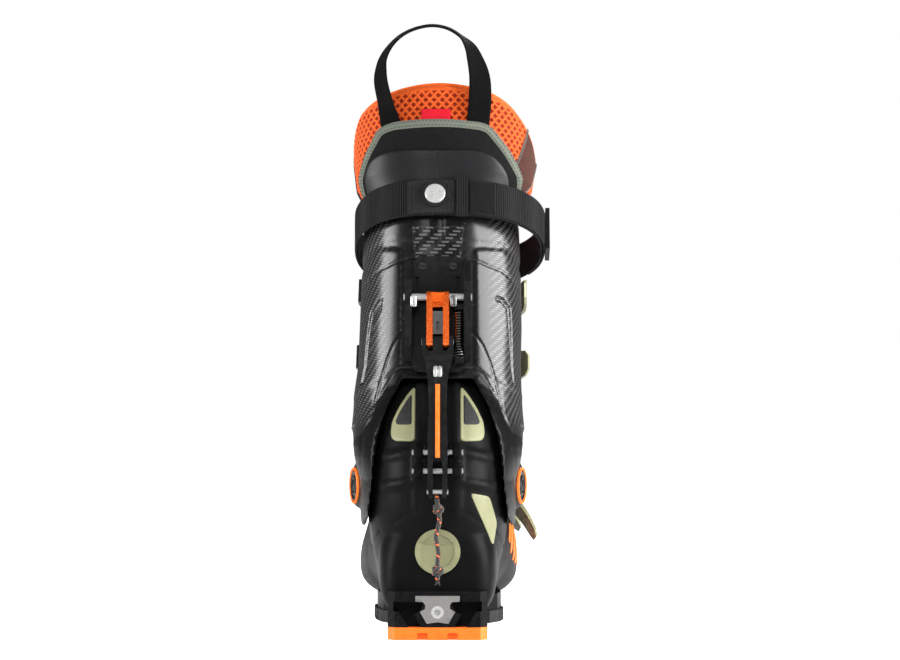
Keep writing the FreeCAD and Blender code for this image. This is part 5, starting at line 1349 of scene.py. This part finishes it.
# ---------------------------------------------------------------------------------------------------------------
# Floor, light and camera
# ---------------------------------------------------------------------------------------------------------------


FLOOR_GLOW = 1.0
ROOM_LIGHT = 0.12
# Name, place, aim, size and power of each soft light; the front one only fills in, the sheen only glints.
LIGHTS = (
    ("left", (-1.9, -0.35, 0.45), (0, 0, 0.24), 0.95, 42),
    ("right", (1.6, -0.42, 0.5), (0, 0, 0.24), 1.2, 74),
    ("front", (-0.25, -2.5, 2.1), (0, 0, 0.2), 1.3, 62),
    ("sheen", (-0.5, -2.4, 1.5), (0, 0, 0.2), 0.7, 7),
    ("back", (0.2, 1.6, 1.1), (0, 0, 0.2), 1.0, 16),
)


def studio():
    paint = Paint("paper_floor")
    grain = paint.noise(60, 3)
    glow = paint.maths("MULTIPLY", paint.node("ShaderNodeLightPath"), FLOOR_GLOW)
    paper = paint.finish(Base_Color=paint.mix(grain, (0.90, 0.90, 0.90), (0.92, 0.92, 0.92)), Roughness=0.9,
                         Emission_Color=(1.0, 1.0, 1.0), Emission_Strength=glow)
    size = 6.0
    mesh = bpy.data.meshes.new("floor")
    mesh.from_pydata([(-size, -size, 0), (size, -size, 0), (size, size, 0), (-size, size, 0)], [], [(0, 1, 2, 3)])
    floor = link("floor", mesh)
    dress(floor, paper)
    world = bpy.data.worlds.new("studio")
    world.use_nodes = True
    tree = world.node_tree
    background = tree.nodes["Background"]
    background.inputs[0].default_value = (1, 1, 1, 1)
    seen = tree.nodes.new("ShaderNodeLightPath")
    strength = tree.nodes.new("ShaderNodeMapRange")
    tree.links.new(seen.outputs["Is Camera Ray"], strength.inputs[0])
    strength.inputs[3].default_value, strength.inputs[4].default_value = ROOM_LIGHT, 1.0
    tree.links.new(strength.outputs[0], background.inputs[1])
    bpy.context.scene.world = world
    for name, spot, aim, side, power in LIGHTS:
        light = bpy.data.lights.new(name, "AREA")
        light.energy, light.shape, light.size = power, "SQUARE", side
        lamp = bpy.data.objects.new(name, light)
        lamp.location = spot
        lamp.visible_glossy = name != "front"
        lamp.visible_diffuse = name != "sheen"
        lamp.rotation_euler = (Vector(aim) - Vector(spot)).to_track_quat("-Z", "Y").to_euler()
        bpy.context.scene.collection.objects.link(lamp)
    lens = bpy.data.cameras.new("camera")
    lens.lens, lens.sensor_width = 143, 36
    camera = bpy.data.objects.new("camera", lens)
    camera.location = (0.0087, -2.6485, 0.217)
    camera.rotation_euler = (math.pi / 2, 0, 0)
    bpy.context.scene.collection.objects.link(camera)
    bpy.context.scene.camera = camera
    bpy.context.scene.view_settings.view_transform = "Standard"


studio()
